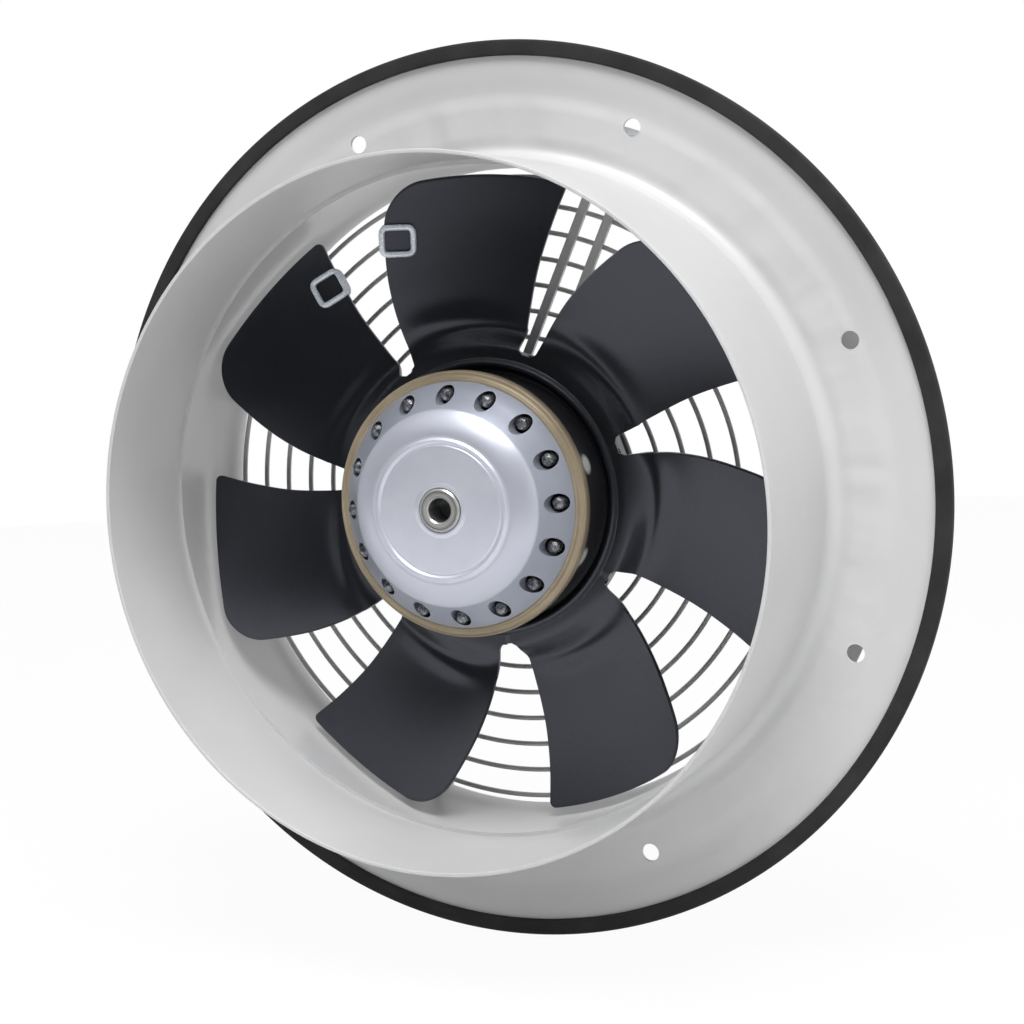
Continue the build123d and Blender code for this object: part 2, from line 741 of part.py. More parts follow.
reach = Vector(*polar(1, BLADE_MID))
across = Vector(*polar(1, BLADE_MID + 90))
rows = [blade_station(row) for row in range(len(TRAILING))]
inner_row = (rows[0][0] - 9.0,) + rows[0][1:]
grow = (TIP_R + 9.0 - rows[-1][0]) / (rows[-1][0] - rows[-2][0])
outer_row = tuple(last + grow * (last - before) for last, before in zip(rows[-1], rows[-2]))
all_rows = [inner_row] + rows + [outer_row]
all_cambers = (CAMBERS[0],) + CAMBERS + (CAMBERS[-1],)
with BuildPart() as blade:
    for (distance, x_lead, h_lead, x_trail, h_trail), camber in zip(all_rows, all_cambers):
        across_plane = Plane(
            origin=(reach.X * distance, 0, reach.Y * distance),
            x_dir=(across.X, 0, across.Y),
            z_dir=(reach.X, 0, reach.Y),
        )
        with BuildSketch(across_plane):
            blade_section(x_lead, h_lead, x_trail, h_trail, camber)
    loft()
    with BuildSketch(FRONT.offset(CUT_BACK)) as blade_face:
        with BuildLine():
            Spline(*[polar(r, a) for r, a, h in TRAILING[:-1]], polar(TIP_R, TRAILING[-1][1]))
            ThreePointArc(
                polar(TIP_R, TRAILING[-1][1]), polar(TIP_R, BLADE_MID), polar(TIP_R, LEADING[-1][1])
            )
            Spline(polar(TIP_R, LEADING[-1][1]), *[polar(r, a) for r, a, h in LEADING[:-1][::-1]])
            ThreePointArc(
                polar(ROOT_R, LEADING[0][1]), polar(ROOT_R, BLADE_MID), polar(ROOT_R, TRAILING[0][1])
            )
        make_face()
        for point, size in (
            (polar(TIP_R, TRAILING[-1][1]), TRAILING_CORNER),
            (polar(TIP_R, LEADING[-1][1]), LEADING_CORNER),
        ):
            tip = blade_face.vertices().sort_by_distance(Vector(*point))[0]
            fillet(tip, size)
    extrude(amount=CUT_L, mode=Mode.INTERSECT)

for number in range(BLADE_COUNT):
    with BuildPart() as turned_blade:
        add(blade.part, rotation=(0, -number * PITCH, 0))
    save(turned_blade, "blade_" + str(number + 1))


# Balance clips: wire loops bent over a blade's edge
def edge_point(edge, row):
    """Distance, offset and height of one station of a blade's edge."""
    radius, angle, height = edge[row]
    turn = math.radians(angle - BLADE_MID)
    return Vector(radius * math.cos(turn), radius * math.sin(turn), height)


def in_fan(local):
    """Turns a blade's distance, offset and height into the fan's frame."""
    return Vector(
        reach.X * local.X + across.X * local.Y,
        -local.Z,
        reach.Y * local.X + across.Y * local.Y,
    )


def edge_plane(edge, other, row, bow_sign):
    """Plane at a blade's edge: x runs inwards on the sheet, z along the edge, the origin in mid-sheet."""
    here = edge_point(edge, row)
    chord = here - edge_point(other, row)
    bow = 4 * CAMBERS[row] / abs(chord.Y)
    along = (edge_point(edge, row + 1) - edge_point(edge, row - 1)).normalized()
    normal = along.cross(Vector(0, 1, chord.Z / chord.Y + bow_sign * bow)).normalized()
    normal = normal if normal.Z > 0 else -normal
    inward = normal.cross(along).normalized()
    inward = -inward if inward.dot(chord) > 0 else inward
    origin = in_fan(here - normal * (BLADE_T / 2))
    return Plane(origin=origin, x_dir=in_fan(inward), z_dir=in_fan(along))


clip_planes = (edge_plane(TRAILING, LEADING, CLIP_ROW, 1), edge_plane(LEADING, TRAILING, CLIP_ROW, -1))
for number, (plane, blade_number) in enumerate(zip(clip_planes, CLIP_BLADES), start=1):
    with BuildPart() as flat_clip:
        with BuildSketch(plane):
            with Locations(((CLIP_L - CLIP_WIRE) / 2, 0)):
                Rectangle(CLIP_L + CLIP_WIRE, BLADE_T + 2 * CLIP_WIRE)
            with Locations((CLIP_L / 2 + 0.5, 0)):
                Rectangle(CLIP_L + 1.0, BLADE_T, mode=Mode.SUBTRACT)
        extrude(amount=CLIP_W / 2, both=True)
        with BuildSketch(plane):
            with Locations((CLIP_L / 2, 0)):
                Rectangle(CLIP_L - 2 * CLIP_WIRE, BLADE_T + 4 * CLIP_WIRE)
        extrude(amount=CLIP_W / 2 - CLIP_WIRE, both=True, mode=Mode.SUBTRACT)
        add(blade.part, mode=Mode.SUBTRACT)
    with BuildPart() as balance_clip:
        add(flat_clip.part, rotation=(0, -(blade_number - 1) * PITCH, 0))
    save(balance_clip, "balance_clip_" + str(number))

print(len(built), "pieces")
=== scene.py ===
"""Looks of the axial wall fan: finishes, soft studio light and the pieces that need more shape than their solids."""

import logging
import math
from dataclasses import dataclass
from enum import Enum
from typing import ClassVar, Sequence

import bmesh
import bpy
from mathutils import Matrix, Vector, noise


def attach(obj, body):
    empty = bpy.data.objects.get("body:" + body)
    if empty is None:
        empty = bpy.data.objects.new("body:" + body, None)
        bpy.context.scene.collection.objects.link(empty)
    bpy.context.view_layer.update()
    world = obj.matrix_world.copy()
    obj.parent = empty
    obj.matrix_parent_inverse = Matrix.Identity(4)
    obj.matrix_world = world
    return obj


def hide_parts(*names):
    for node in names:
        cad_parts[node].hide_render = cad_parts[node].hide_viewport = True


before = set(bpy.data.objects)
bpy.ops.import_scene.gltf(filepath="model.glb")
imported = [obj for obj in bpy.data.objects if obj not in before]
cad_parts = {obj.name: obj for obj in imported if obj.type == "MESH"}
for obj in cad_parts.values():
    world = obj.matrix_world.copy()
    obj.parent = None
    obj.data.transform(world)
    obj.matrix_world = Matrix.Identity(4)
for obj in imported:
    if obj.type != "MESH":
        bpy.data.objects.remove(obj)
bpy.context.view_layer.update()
log = logging.getLogger("wall_fan")

MM = 0.001
WELD = 1e-6
WIRE_SIDES, WIRE_STEPS = 12, 240
HOLE_SIDES, HOLE_CREASE = 32, 28.0
WHITE = (1.0, 1.0, 1.0, 1.0)
Pair = tuple[float, float]
Triple = tuple[float, float, float]
Row = tuple[float, ...]
Form = bmesh.types.BMesh
Piece = bpy.types.Object
Material = bpy.types.Material
Socket = bpy.types.NodeSocket
Given = Socket | float | Sequence[float]


class Body(Enum):
    """The moving groups that a piece can ride on."""

    FRAME = "wall_frame"
    ROTOR = "rotor"


class Grain(Enum):
    """How a finish's fine marks run."""

    EVEN = "even"
    TURNED = "turned"
    PEBBLED = "pebbled"


class Bench:
    """Adds nodes to a tree."""

    def __init__(self, tree: bpy.types.NodeTree) -> None:
        """Takes the tree that the nodes go into."""
        self.tree = tree

    def feed(self, into: Socket, given: Given) -> None:
        """Gives an input a constant or joins it to an output.

        Args:
            into: The input.
            given: A socket or a constant.
        """
        if isinstance(given, Socket):
            self.tree.links.new(given, into)
        else:
            into.default_value = given

    def node(self, kind: str, **inputs: Given) -> bpy.types.Node:
        """Adds a node.

        Args:
            kind: Its type, without the ShaderNode in front.
            inputs: Sockets or constants for its inputs, with underscores for spaces.

        Returns:
            The node.
        """
        made = self.tree.nodes.new("ShaderNode" + kind)
        for name, given in inputs.items():
            self.feed(made.inputs[name.replace("_", " ")], given)
        return made

    def math(self, operation: str, first: Socket | float, second: Socket | float = 0.0) -> Socket:
        """Adds a math node.

        Args:
            operation: Blender's name of the operation.
            first: A socket or a number.
            second: A socket or a number.

        Returns:
            The node's value.
        """
        node = self.node("Math")
        node.operation = operation
        self.feed(node.inputs[0], first)
        self.feed(node.inputs[1], second)
        return node.outputs[0]

    def ray_is(self, kind: str) -> Socket:
        """Returns 1 for one kind of ray, such as Camera or Glossy, else 0."""
        return self.node("LightPath").outputs["Is %s Ray" % kind]

    def seen_share(self) -> Socket:
        """Returns 1 for rays from the camera and through or off gloss and glass, else 0."""
        either = self.math("MAXIMUM", self.ray_is("Camera"), self.ray_is("Glossy"))
        return self.math("MAXIMUM", either, self.ray_is("Transmission"))

    def finish_with(self, output: str, share: Socket, first: Socket, second: Socket) -> None:
        """Mixes two shaders into the tree's output.

        Args:
            output: The output node's name.
            share: Share of the second shader.
            first: A shader.
            second: Another shader.
        """
        blend = self.node("MixShader")
        for into, given in zip(blend.inputs, (share, first, second)):
            self.feed(into, given)
        self.feed(self.tree.nodes[output].inputs["Surface"], blend.outputs[0])


class NodeBench(Bench):
    """Builds one material's nodes round its Principled shader."""

    NEAR_CORE = 0.55
    RIPPLE_ZONE = (0.142, 0.151, 0.007)
    RIPPLE_SCALE = 1.6
    RIPPLES_ROUND, RIPPLES_OUT = 6.5, 12.0
    MIDDLE_RANGE = (0.3, 0.7)
    BLEND_RANGE = (0.35, 0.65)

    def __init__(self, name: str) -> None:
        """Starts a material.

        Args:
            name: The material's name.
        """
        self.material = bpy.data.materials.new(name)
        self.material.use_nodes = True
        super().__init__(self.material.node_tree)
        self.shader = self.tree.nodes["Principled BSDF"]
        self.coords = self.node("TexCoord").outputs["Object"]

    def set(self, **values: Given) -> None:
        """Gives the shader's inputs their values, named with underscores for spaces."""
        for name, given in values.items():
            self.feed(self.shader.inputs[name.replace("_", " ")], given)

    def split_coords(self) -> bpy.types.Node:
        """Object coordinates as three values."""
        return self.node("SeparateXYZ", Vector=self.coords)

    def radius(self) -> Socket:
        """Measures the distance from the fan's axis.

        Returns:
            The distance in metres.
        """
        split = self.split_coords()
        square_x = self.math("MULTIPLY", split.outputs["X"], split.outputs["X"])
        square_z = self.math("MULTIPLY", split.outputs["Z"], split.outputs["Z"])
        return self.math("SQRT", self.math("ADD", square_x, square_z))

    def turned_coords(self) -> Socket:
        """Coordinates that change with radius and height but not round the fan's axis."""
        height = self.split_coords().outputs["Y"]
        return self.node("CombineXYZ", X=self.radius(), Y=height).outputs[0]

    def window(self, value: Socket, low: float, high: float, fade: float) -> Socket:
        """Returns 1 between two values, with a soft fade at both ends.

        Args:
            value: What is tested.
            low: Lower end.
            high: Upper end.
            fade: Width of the fade.

        Returns:
            The share between 0 and 1.
        """
        sides = []
        for start, end in ((low - fade, low), (high + fade, high)):
            node = self.node("MapRange", From_Min=start, From_Max=end, Value=value)
            node.interpolation_type = "SMOOTHSTEP"
            sides.append(node.outputs["Result"])
        return self.math("MULTIPLY", *sides)

    def near(self, place: Triple, reach: float) -> Socket:
        """Returns 1 at a place and 0 beyond a distance from it.

        Args:
            place: The place in metres.
            reach: The distance in metres.

        Returns:
            The share between 0 and 1.
        """
        away = self.node("VectorMath")
        away.operation = "DISTANCE"
        self.feed(away.inputs[0], self.coords)
        self.feed(away.inputs[1], place)
        core = reach * self.NEAR_CORE
        node = self.node("MapRange", From_Min=reach, From_Max=core, Value=away.outputs["Value"])
        return node.outputs["Result"]

    def mixed(self, share: Socket, first: Socket, second: Triple) -> Socket:
        """Mixes a constant colour into another one.

        Args:
            share: Share of the constant colour.
            first: The other colour.
            second: The constant colour.

        Returns:
            The colour.
        """
        node = self.node("Mix")
        node.data_type = "RGBA"
        self.feed(node.inputs["Factor"], share)
        self.feed(node.inputs[6], first)
        self.feed(node.inputs[7], (*second, 1.0))
        return node.outputs[2]

    def radial_ripples(self) -> Socket:
        """Shapes the shallow radial marks that deep drawing leaves on the flange beside the duct.

        Returns:
            Their height between 0 and 1.
        """
        split = self.split_coords()
        angle = self.math("ARCTAN2", split.outputs["Z"], split.outputs["X"])
        round_axis = self.math("MULTIPLY", angle, self.RIPPLES_ROUND)
        outwards = self.math("MULTIPLY", self.radius(), self.RIPPLES_OUT)
        at = self.node("CombineXYZ", X=round_axis, Y=outwards).outputs[0]
        waves = self.noise(self.RIPPLE_SCALE, 1.0, at)
        return self.math("MULTIPLY", waves, self.window(self.radius(), *self.RIPPLE_ZONE))

    def noise(self, scale: float, detail: float = 3.0, at: Socket | None = None) -> Socket:
        """Noise between 0 and 1, from its features per metre, its octaves and coordinates or the object's own."""
        return self.node("TexNoise", Scale=scale, Detail=detail, Vector=at or self.coords).outputs["Fac"]

    def colours(self, value: Socket, low: Triple, high: Triple) -> Socket:
        """Blends two colours by a noise's middle range.

        Args:
            value: What drives the blend.
            low: Colour at low values.
            high: Colour at high values.

        Returns:
            The colour.
        """
        node = self.node("ValToRGB", Fac=value)
        for stop, place, colour in zip(node.color_ramp.elements, self.BLEND_RANGE, (low, high)):
            stop.position = place
            stop.color = (*colour, 1.0)
        return node.outputs["Color"]

    def spread(self, value: Socket, low: float, high: float) -> Socket:
        """Maps a noise's middle range to two values.

        Args:
            value: The noise.
            low: Result at the range's lower end.
            high: Result at its upper end.

        Returns:
            The mapped value.
        """
        start, end = self.MIDDLE_RANGE
        node = self.node("MapRange", From_Min=start, From_Max=end, To_Min=low, To_Max=high, Value=value)
        return node.outputs["Result"]

    def bump(self, height: Socket, depth: float, strength: float = 1.0, under: Socket | None = None) -> Socket:
        """Returns a bumped normal.

        Args:
            height: Height between 0 and 1.
            depth: Metres at a height of 1.
            strength: Share of the effect.
            under: Another bump's normal, or none.

        Returns:
            The normal.
        """
        node = self.node("Bump", Strength=strength, Distance=depth, Height=height)
        if under is not None:
            self.feed(node.inputs["Normal"], under)
        return node.outputs["Normal"]


@dataclass(frozen=True)
class Patch:
    """A light spot at a given place on a finish.

    Attributes:
        place: Its middle in metres.
        reach: Radius at which it has faded out, in metres.
        colour: Its colour.
    """

    place: Triple
    reach: float
    colour: Triple


@dataclass(frozen=True)
class PaintedShadeBand:
    """A zone round the fan's axis coloured darker, which paints shade on it.

    Attributes:
        start: Its inner radius in metres.
        end: Its outer radius in metres.
        fade: Width of its soft edges in metres.
        colour: Its colour.
    """

    start: float
    end: float
    fade: float
    colour: Triple


@dataclass(frozen=True)
class Finish:
    """One finish of the fan.

    Attributes:
        name: The material's name.
        low: Darker of the two colours that mix over the surface, linear.
        high: Lighter of the two.
        metallic: Share of bare metal.
        rough: Lowest and highest roughness.
        grain: How the fine marks run.
        mottle: Size of the colour's patches, per metre.
        mark: Size of the fine marks, per metre.
        depth: Depth of the fine marks in metres.
        specular: Level of the mirror-like share, 0.5 for common paint.
        ripples: Depth of the radial drawing marks in metres, or none.
        tint: Colour of the mirror-like share.
        painted_shade_bands: Zones round the axis coloured darker, as painted shade.
        patches: Light spots at given places.
    """

    name: str
    low: Triple
    high: Triple
    metallic: float = 0.0
    rough: Pair = (0.4, 0.5)
    grain: Grain = Grain.EVEN
    mottle: float = 30.0
    mark: float = 900.0
    depth: float = 4e-5
    specular: float = 0.5
    ripples: float = 0.0
    tint: Triple = (1.0, 1.0, 1.0)
    painted_shade_bands: tuple[PaintedShadeBand, ...] = ()
    patches: tuple[Patch, ...] = ()
    COLOUR_OCTAVES: ClassVar[float] = 4.0
    MARK_OCTAVES: ClassVar[dict[Grain, float]] = {Grain.EVEN: 2.0, Grain.TURNED: 2.0, Grain.PEBBLED: 5.0}
    MARK_STRENGTH: ClassVar[float] = 0.6
    WAVE_SCALE, WAVE_DEPTH, WAVE_STRENGTH = 0.4, 0.0006, 0.2

    def colour(self, bench: NodeBench) -> Socket:
        """Builds the colour with its mottle, its zones of painted shade and its light spots.

        Args:
            bench: The material's bench.

        Returns:
            The colour.
        """
        shade = bench.colours(bench.noise(self.mottle, self.COLOUR_OCTAVES), self.low, self.high)
        for patch in self.patches:
            shade = bench.mixed(bench.near(patch.place, patch.reach), shade, patch.colour)
        # Zones round the axis are coloured darker here: painted shade.
        for band in self.painted_shade_bands:
            zone = bench.window(bench.radius(), band.start, band.end, band.fade)
            shade = bench.mixed(zone, shade, band.colour)
        return shade

    def material(self) -> Material:
        """Builds the finish as a node material.

        Returns:
            The material.
        """
        bench = NodeBench(self.name)
        at = bench.turned_coords() if self.grain is Grain.TURNED else None
        marks = bench.noise(self.mark, self.MARK_OCTAVES[self.grain], at)
        waves = bench.noise(self.mottle * self.WAVE_SCALE, 2.0)
        normal = bench.bump(waves, self.WAVE_DEPTH, self.WAVE_STRENGTH)
        if self.ripples:
            normal = bench.bump(bench.radial_ripples(), self.ripples, 1.0, normal)
        bench.set(
            Base_Color=self.colour(bench),
            Metallic=self.metallic,
            Roughness=bench.spread(marks, *self.rough),
            Specular_IOR_Level=self.specular,
            Specular_Tint=(*self.tint, 1.0),
            Normal=bench.bump(marks, self.depth, self.MARK_STRENGTH, normal),
        )
        return bench.material


WHITE_SPOT = (0.8, 0.8, 0.76)
FINISHES = (
    Finish(
        "zinc_sheet", (0.575, 0.575, 0.58), (0.635, 0.635, 0.64), 0.06, (0.42, 0.5),
        Grain.TURNED, mottle=9.0, mark=1400.0, depth=1e-5, specular=0.35, ripples=0.0016,
    ),
    Finish(
        "inlet_sheet", (0.58, 0.58, 0.585), (0.64, 0.64, 0.645), 0.15, (0.36, 0.44),
        Grain.TURNED, mottle=9.0, mark=1400.0, depth=1e-5,
    ),
    Finish(
        "seal_rubber", (0.020, 0.020, 0.021), (0.030, 0.030, 0.031), 0.0, (0.75, 0.9),
        Grain.PEBBLED, mottle=60.0, mark=2600.0, depth=2e-4, specular=0.3,
    ),
    Finish(
        "black_blade_coat", (0.005, 0.0055, 0.0075), (0.007, 0.0077, 0.0102), 0.0, (0.27, 0.33),
        Grain.PEBBLED, mottle=40.0, mark=2600.0, depth=1e-5, specular=0.95, tint=(0.84, 0.87, 1.0),
    ),
    Finish(
        "bare_slot_edge", (0.22, 0.225, 0.23), (0.32, 0.325, 0.33), 0.3, (0.4, 0.5),
        mottle=200.0, mark=2000.0,
    ),
    Finish(
        "black_drum_coat", (0.022, 0.022, 0.025), (0.034, 0.034, 0.038), 0.0, (0.3, 0.4),
        Grain.PEBBLED, mottle=60.0, mark=2000.0, depth=3e-5, specular=0.7,
        patches=(
            Patch((0.0464, -0.0275, 0.0145), 0.0044, WHITE_SPOT),
            Patch((0.0439, -0.0275, -0.0209), 0.0044, WHITE_SPOT),
        ),
    ),
    Finish(
        "cap_aluminium", (0.655, 0.675, 0.765), (0.705, 0.725, 0.815), 0.5, (0.32, 0.38),
        Grain.TURNED, mottle=60.0, mark=2500.0, depth=2e-5,
        # Painted shade: the dome's outer slope and the sloping band round the studs are coloured darker than the flat
        # disc.
        painted_shade_bands=(
            PaintedShadeBand(0.0282, 0.0372, 0.0006, (0.585, 0.605, 0.69)),
            PaintedShadeBand(0.0376, 0.0480, 0.0006, (0.44, 0.47, 0.55)),
        ),
    ),
    Finish(
        "cast_aluminium", (0.46, 0.47, 0.48), (0.56, 0.57, 0.58), 0.8, (0.45, 0.6),
        Grain.PEBBLED, mottle=80.0, mark=1800.0, depth=1.5e-4,
    ),
    Finish(
        "stud_aluminium", (0.07, 0.073, 0.08), (0.32, 0.33, 0.35), 0.75, (0.2, 0.4),
        Grain.PEBBLED, mottle=700.0, mark=1600.0, depth=4e-4,
    ),
    Finish(
        "beige_ring_coat", (0.30, 0.245, 0.165), (0.38, 0.315, 0.22), 0.25, (0.34, 0.46),
        Grain.TURNED, mottle=50.0, mark=1500.0, depth=3e-5,
    ),
    Finish(
        "guard_steel", (0.50, 0.503, 0.505), (0.60, 0.603, 0.605), 0.2, (0.3, 0.42),
        mottle=70.0, mark=1500.0,
    ),
    # Painted light: a lighter copy of guard_steel for the flat bars, which are the same steel as the wires.
    Finish(
        "guard_bar_steel", (0.66, 0.663, 0.665), (0.74, 0.743, 0.745), 0.1, (0.3, 0.42),
        mottle=70.0, mark=1500.0,
    ),
    Finish(
        "bright_zinc", (0.72, 0.77, 0.84), (0.80, 0.85, 0.92), 0.3, (0.22, 0.3),
        mottle=120.0, mark=1800.0, depth=3e-6,
    ),
    Finish(
        "ground_steel", (0.50, 0.505, 0.515), (0.60, 0.605, 0.61), 0.95, (0.18, 0.28),
        Grain.TURNED, mottle=90.0, mark=2600.0, depth=1e-5,
    ),
    Finish(
        "shaft_steel", (0.44, 0.44, 0.425), (0.54, 0.54, 0.525), 0.6, (0.22, 0.32),
        Grain.TURNED, mottle=90.0, mark=2600.0, depth=1e-5,
        # Painted shade: the bore is coloured dark grey, and a thin ring at 6.8 to 7.1 mm on the end face is coloured
        # dark.
        painted_shade_bands=(
            PaintedShadeBand(-0.001, 0.0046, 0.0001, (0.2, 0.205, 0.21)),
            PaintedShadeBand(0.0068, 0.0071, 0.0001, (0.15, 0.15, 0.15)),
        ),
    ),
    Finish(
        "lamination_steel", (0.14, 0.145, 0.155), (0.24, 0.245, 0.255), 0.7, (0.4, 0.6),
        Grain.TURNED, mottle=90.0, mark=2000.0, depth=1e-4,
    ),
    Finish(
        "insulation_plastic", (0.60, 0.57, 0.44), (0.68, 0.65, 0.52), 0.0, (0.45, 0.55),
        mottle=70.0, mark=1200.0, depth=3e-5,
    ),
    Finish(
        "winding_copper", (0.36, 0.13, 0.045), (0.52, 0.21, 0.08), 0.8, (0.28, 0.4),
        Grain.TURNED, mottle=200.0, mark=1500.0, depth=3e-4,
    ),
    Finish(
        "grommet_rubber", (0.012, 0.012, 0.013), (0.022, 0.022, 0.023), 0.0, (0.6, 0.75),
        Grain.PEBBLED, mottle=120.0, mark=1800.0, depth=1e-4,
    ),
)


@dataclass(frozen=True)
class Corner:
    """One corner of a turned outline.

    Attributes:
        radius: Distance from the fan's axis in millimetres.
        height: Height towards the outlet side in millimetres.
        rounding: Length taken off each side of the corner in millimetres.
        steps: Segments of the rounding.
    """

    radius: float
    height: float
    rounding: float = 0.0
    steps: int = 4


def into_object(name: str, form: Form, finish: Material, crease: float = 35.0) -> Piece:
    """Turns a bmesh into a shaded object at the origin.

    Args:
        name: The object's name.
        form: The finished bmesh, which is freed.
        finish: Its material.
        crease: Angle in degrees above which an edge stays sharp.

    Returns:
        The object.
    """
    mesh = bpy.data.meshes.new(name)
    form.to_mesh(mesh)
    form.free()
    for face in mesh.polygons:
        face.use_smooth = True
    mesh.set_sharp_from_angle(angle=math.radians(crease))
    mesh.materials.append(finish)
    piece = bpy.data.objects.new(name, mesh)
    bpy.context.scene.collection.objects.link(piece)
    return piece


def spin_into(form: Form, part: Form, steps: int) -> None:
    """Turns an outline once round the fan's axis and adds the skin to a bmesh.

    Args:
        form: Where it goes.
        part: A bmesh that holds the outline's edges alone, and is freed.
        steps: Segments of the turn.
    """
    outline = part.verts[:] + part.edges[:]
    bmesh.ops.spin(
        part, geom=outline, cent=(0.0, 0.0, 0.0), axis=(0.0, 1.0, 0.0), angle=2 * math.pi, steps=steps, use_merge=True
    )
    bmesh.ops.remove_doubles(part, verts=part.verts[:], dist=WELD)
    bmesh.ops.recalc_face_normals(part, faces=part.faces[:])
    held = bpy.data.meshes.new("outline")
    part.to_mesh(held)
    part.free()
    form.from_mesh(held)
    bpy.data.meshes.remove(held)


def add_turned(form: Form, corners: Sequence[Corner], steps: int) -> None:
    """Adds a full turn of a closed outline to a bmesh.

    Args:
        form: Where it goes.
        corners: The outline.
        steps: Segments of the turn.
    """
    part = bmesh.new()
    ring = [part.verts.new((c.radius * MM, -c.height * MM, 0.0)) for c in corners]
    part.faces.new(ring)
    for vert, corner in zip(ring, corners):
        if corner.rounding:
            bmesh.ops.bevel(
                part, geom=[vert], offset=corner.rounding * MM, offset_type="OFFSET", segments=corner.steps,
                profile=0.5, affect="VERTICES", material=-1,
            )
    bmesh.ops.delete(part, geom=part.faces[:], context="FACES_ONLY")
    spin_into(form, part, steps)


def add_wire_ring(form: Form, radius: float, height: float, wire: float) -> None:
    """Adds a ring of round wire.

    Args:
        form: Where it goes.
        radius: Radius to the wire's middle in millimetres.
        height: Height of the wire's middle.
        wire: The wire's own radius.
    """
    part = bmesh.new()
    place = Matrix.Translation((radius * MM, -height * MM, 0.0))
    bmesh.ops.create_circle(part, segments=WIRE_SIDES, radius=wire * MM, matrix=place)
    spin_into(form, part, WIRE_STEPS)


def cut_holes(piece: Piece, radius: float, circle: float, angles: Sequence[float], reach: Pair) -> None:
    """Cuts round holes along the fan's axis through a piece.

    Args:
        piece: The piece.
        radius: Radius of the holes in millimetres.
        circle: Radius of the circle they lie on.
        angles: Their angles in degrees.
        reach: Lowest and highest height of the cut.
    """
    form = bmesh.new()
    depth = (reach[1] - reach[0]) * MM
    size = radius * MM
    for angle in angles:
        turn = math.radians(angle)
        place = Vector((circle * math.cos(turn), -sum(reach) / 2, circle * math.sin(turn))) * MM
        matrix = Matrix.Translation(place) @ Matrix.Rotation(math.pi / 2, 4, "X")
        bmesh.ops.create_cone(
            form, cap_ends=True, segments=HOLE_SIDES, radius1=size, radius2=size, depth=depth, matrix=matrix
        )
    mesh = bpy.data.meshes.new("drill")
    form.to_mesh(mesh)
    form.free()
    drill = bpy.data.objects.new("drill", mesh)
    bpy.context.scene.collection.objects.link(drill)
    cut = piece.modifiers.new("holes", "BOOLEAN")
    cut.operation = "DIFFERENCE"
    cut.solver = "EXACT"
    cut.object = drill
    graph = bpy.context.evaluated_depsgraph_get()
    done = bpy.data.meshes.new_from_object(piece.evaluated_get(graph), depsgraph=graph)
    piece.modifiers.remove(cut)
    old = piece.data
    piece.data = done
    bpy.data.meshes.remove(old)
    bpy.data.objects.remove(drill)
    bpy.data.meshes.remove(mesh)
    for face in done.polygons:
        face.use_smooth = True
    done.set_sharp_from_angle(angle=math.radians(HOLE_CREASE))


def soften(piece: Piece, width: float, angle: float = 50.0) -> None:
    """Rounds a piece's sharp edges a little.

    Args:
        piece: The piece.
        width: Width of the rounding in millimetres.
        angle: Edges sharper than this are rounded, in degrees.
    """
    bevel = piece.modifiers.new("edges", "BEVEL")
    bevel.width = width * MM
    bevel.segments = 2
    bevel.limit_method = "ANGLE"
    bevel.angle_limit = math.radians(angle)
    bevel.harden_normals = False


def settle(piece: Piece, body: Body, slot: str, *nodes: str) -> None:
    """Puts a piece on its body in place of its solids.

    Args:
        piece: The piece.
        body: What it moves with.
        slot: The record's material slot; not used.
        nodes: The solids it stands for.
    """
    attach(piece, body.value)
    if nodes:
        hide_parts(*nodes)
    log.info("%s: %d faces on %s", piece.name, len(piece.data.polygons), body.value)


@dataclass
class Assembly:
    """A part of the fan, with the finishes at hand.

    Attributes:
        finishes: The materials by name.
    """

    finishes: dict[str, Material]

    def dress(self, finish: str, *nodes: str, crease: float = 32.0) -> None:
        """Gives solids their finish and shades them smoothly between their creases.

        Args:
            finish: The finish's name.
            nodes: The solids' names.
            crease: Angle in degrees above which an edge stays sharp.
        """
        for node in nodes:
            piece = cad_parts[node]
            piece.data.materials.clear()
            piece.data.materials.append(self.finishes[finish])
            for face in piece.data.polygons:
                face.use_smooth = True
            weld = piece.modifiers.new("weld", "WELD")
            weld.merge_threshold = WELD
            split = piece.modifiers.new("creases", "EDGE_SPLIT")
            split.split_angle = math.radians(crease)
            log.info("%s: dressed with %s", node, finish)


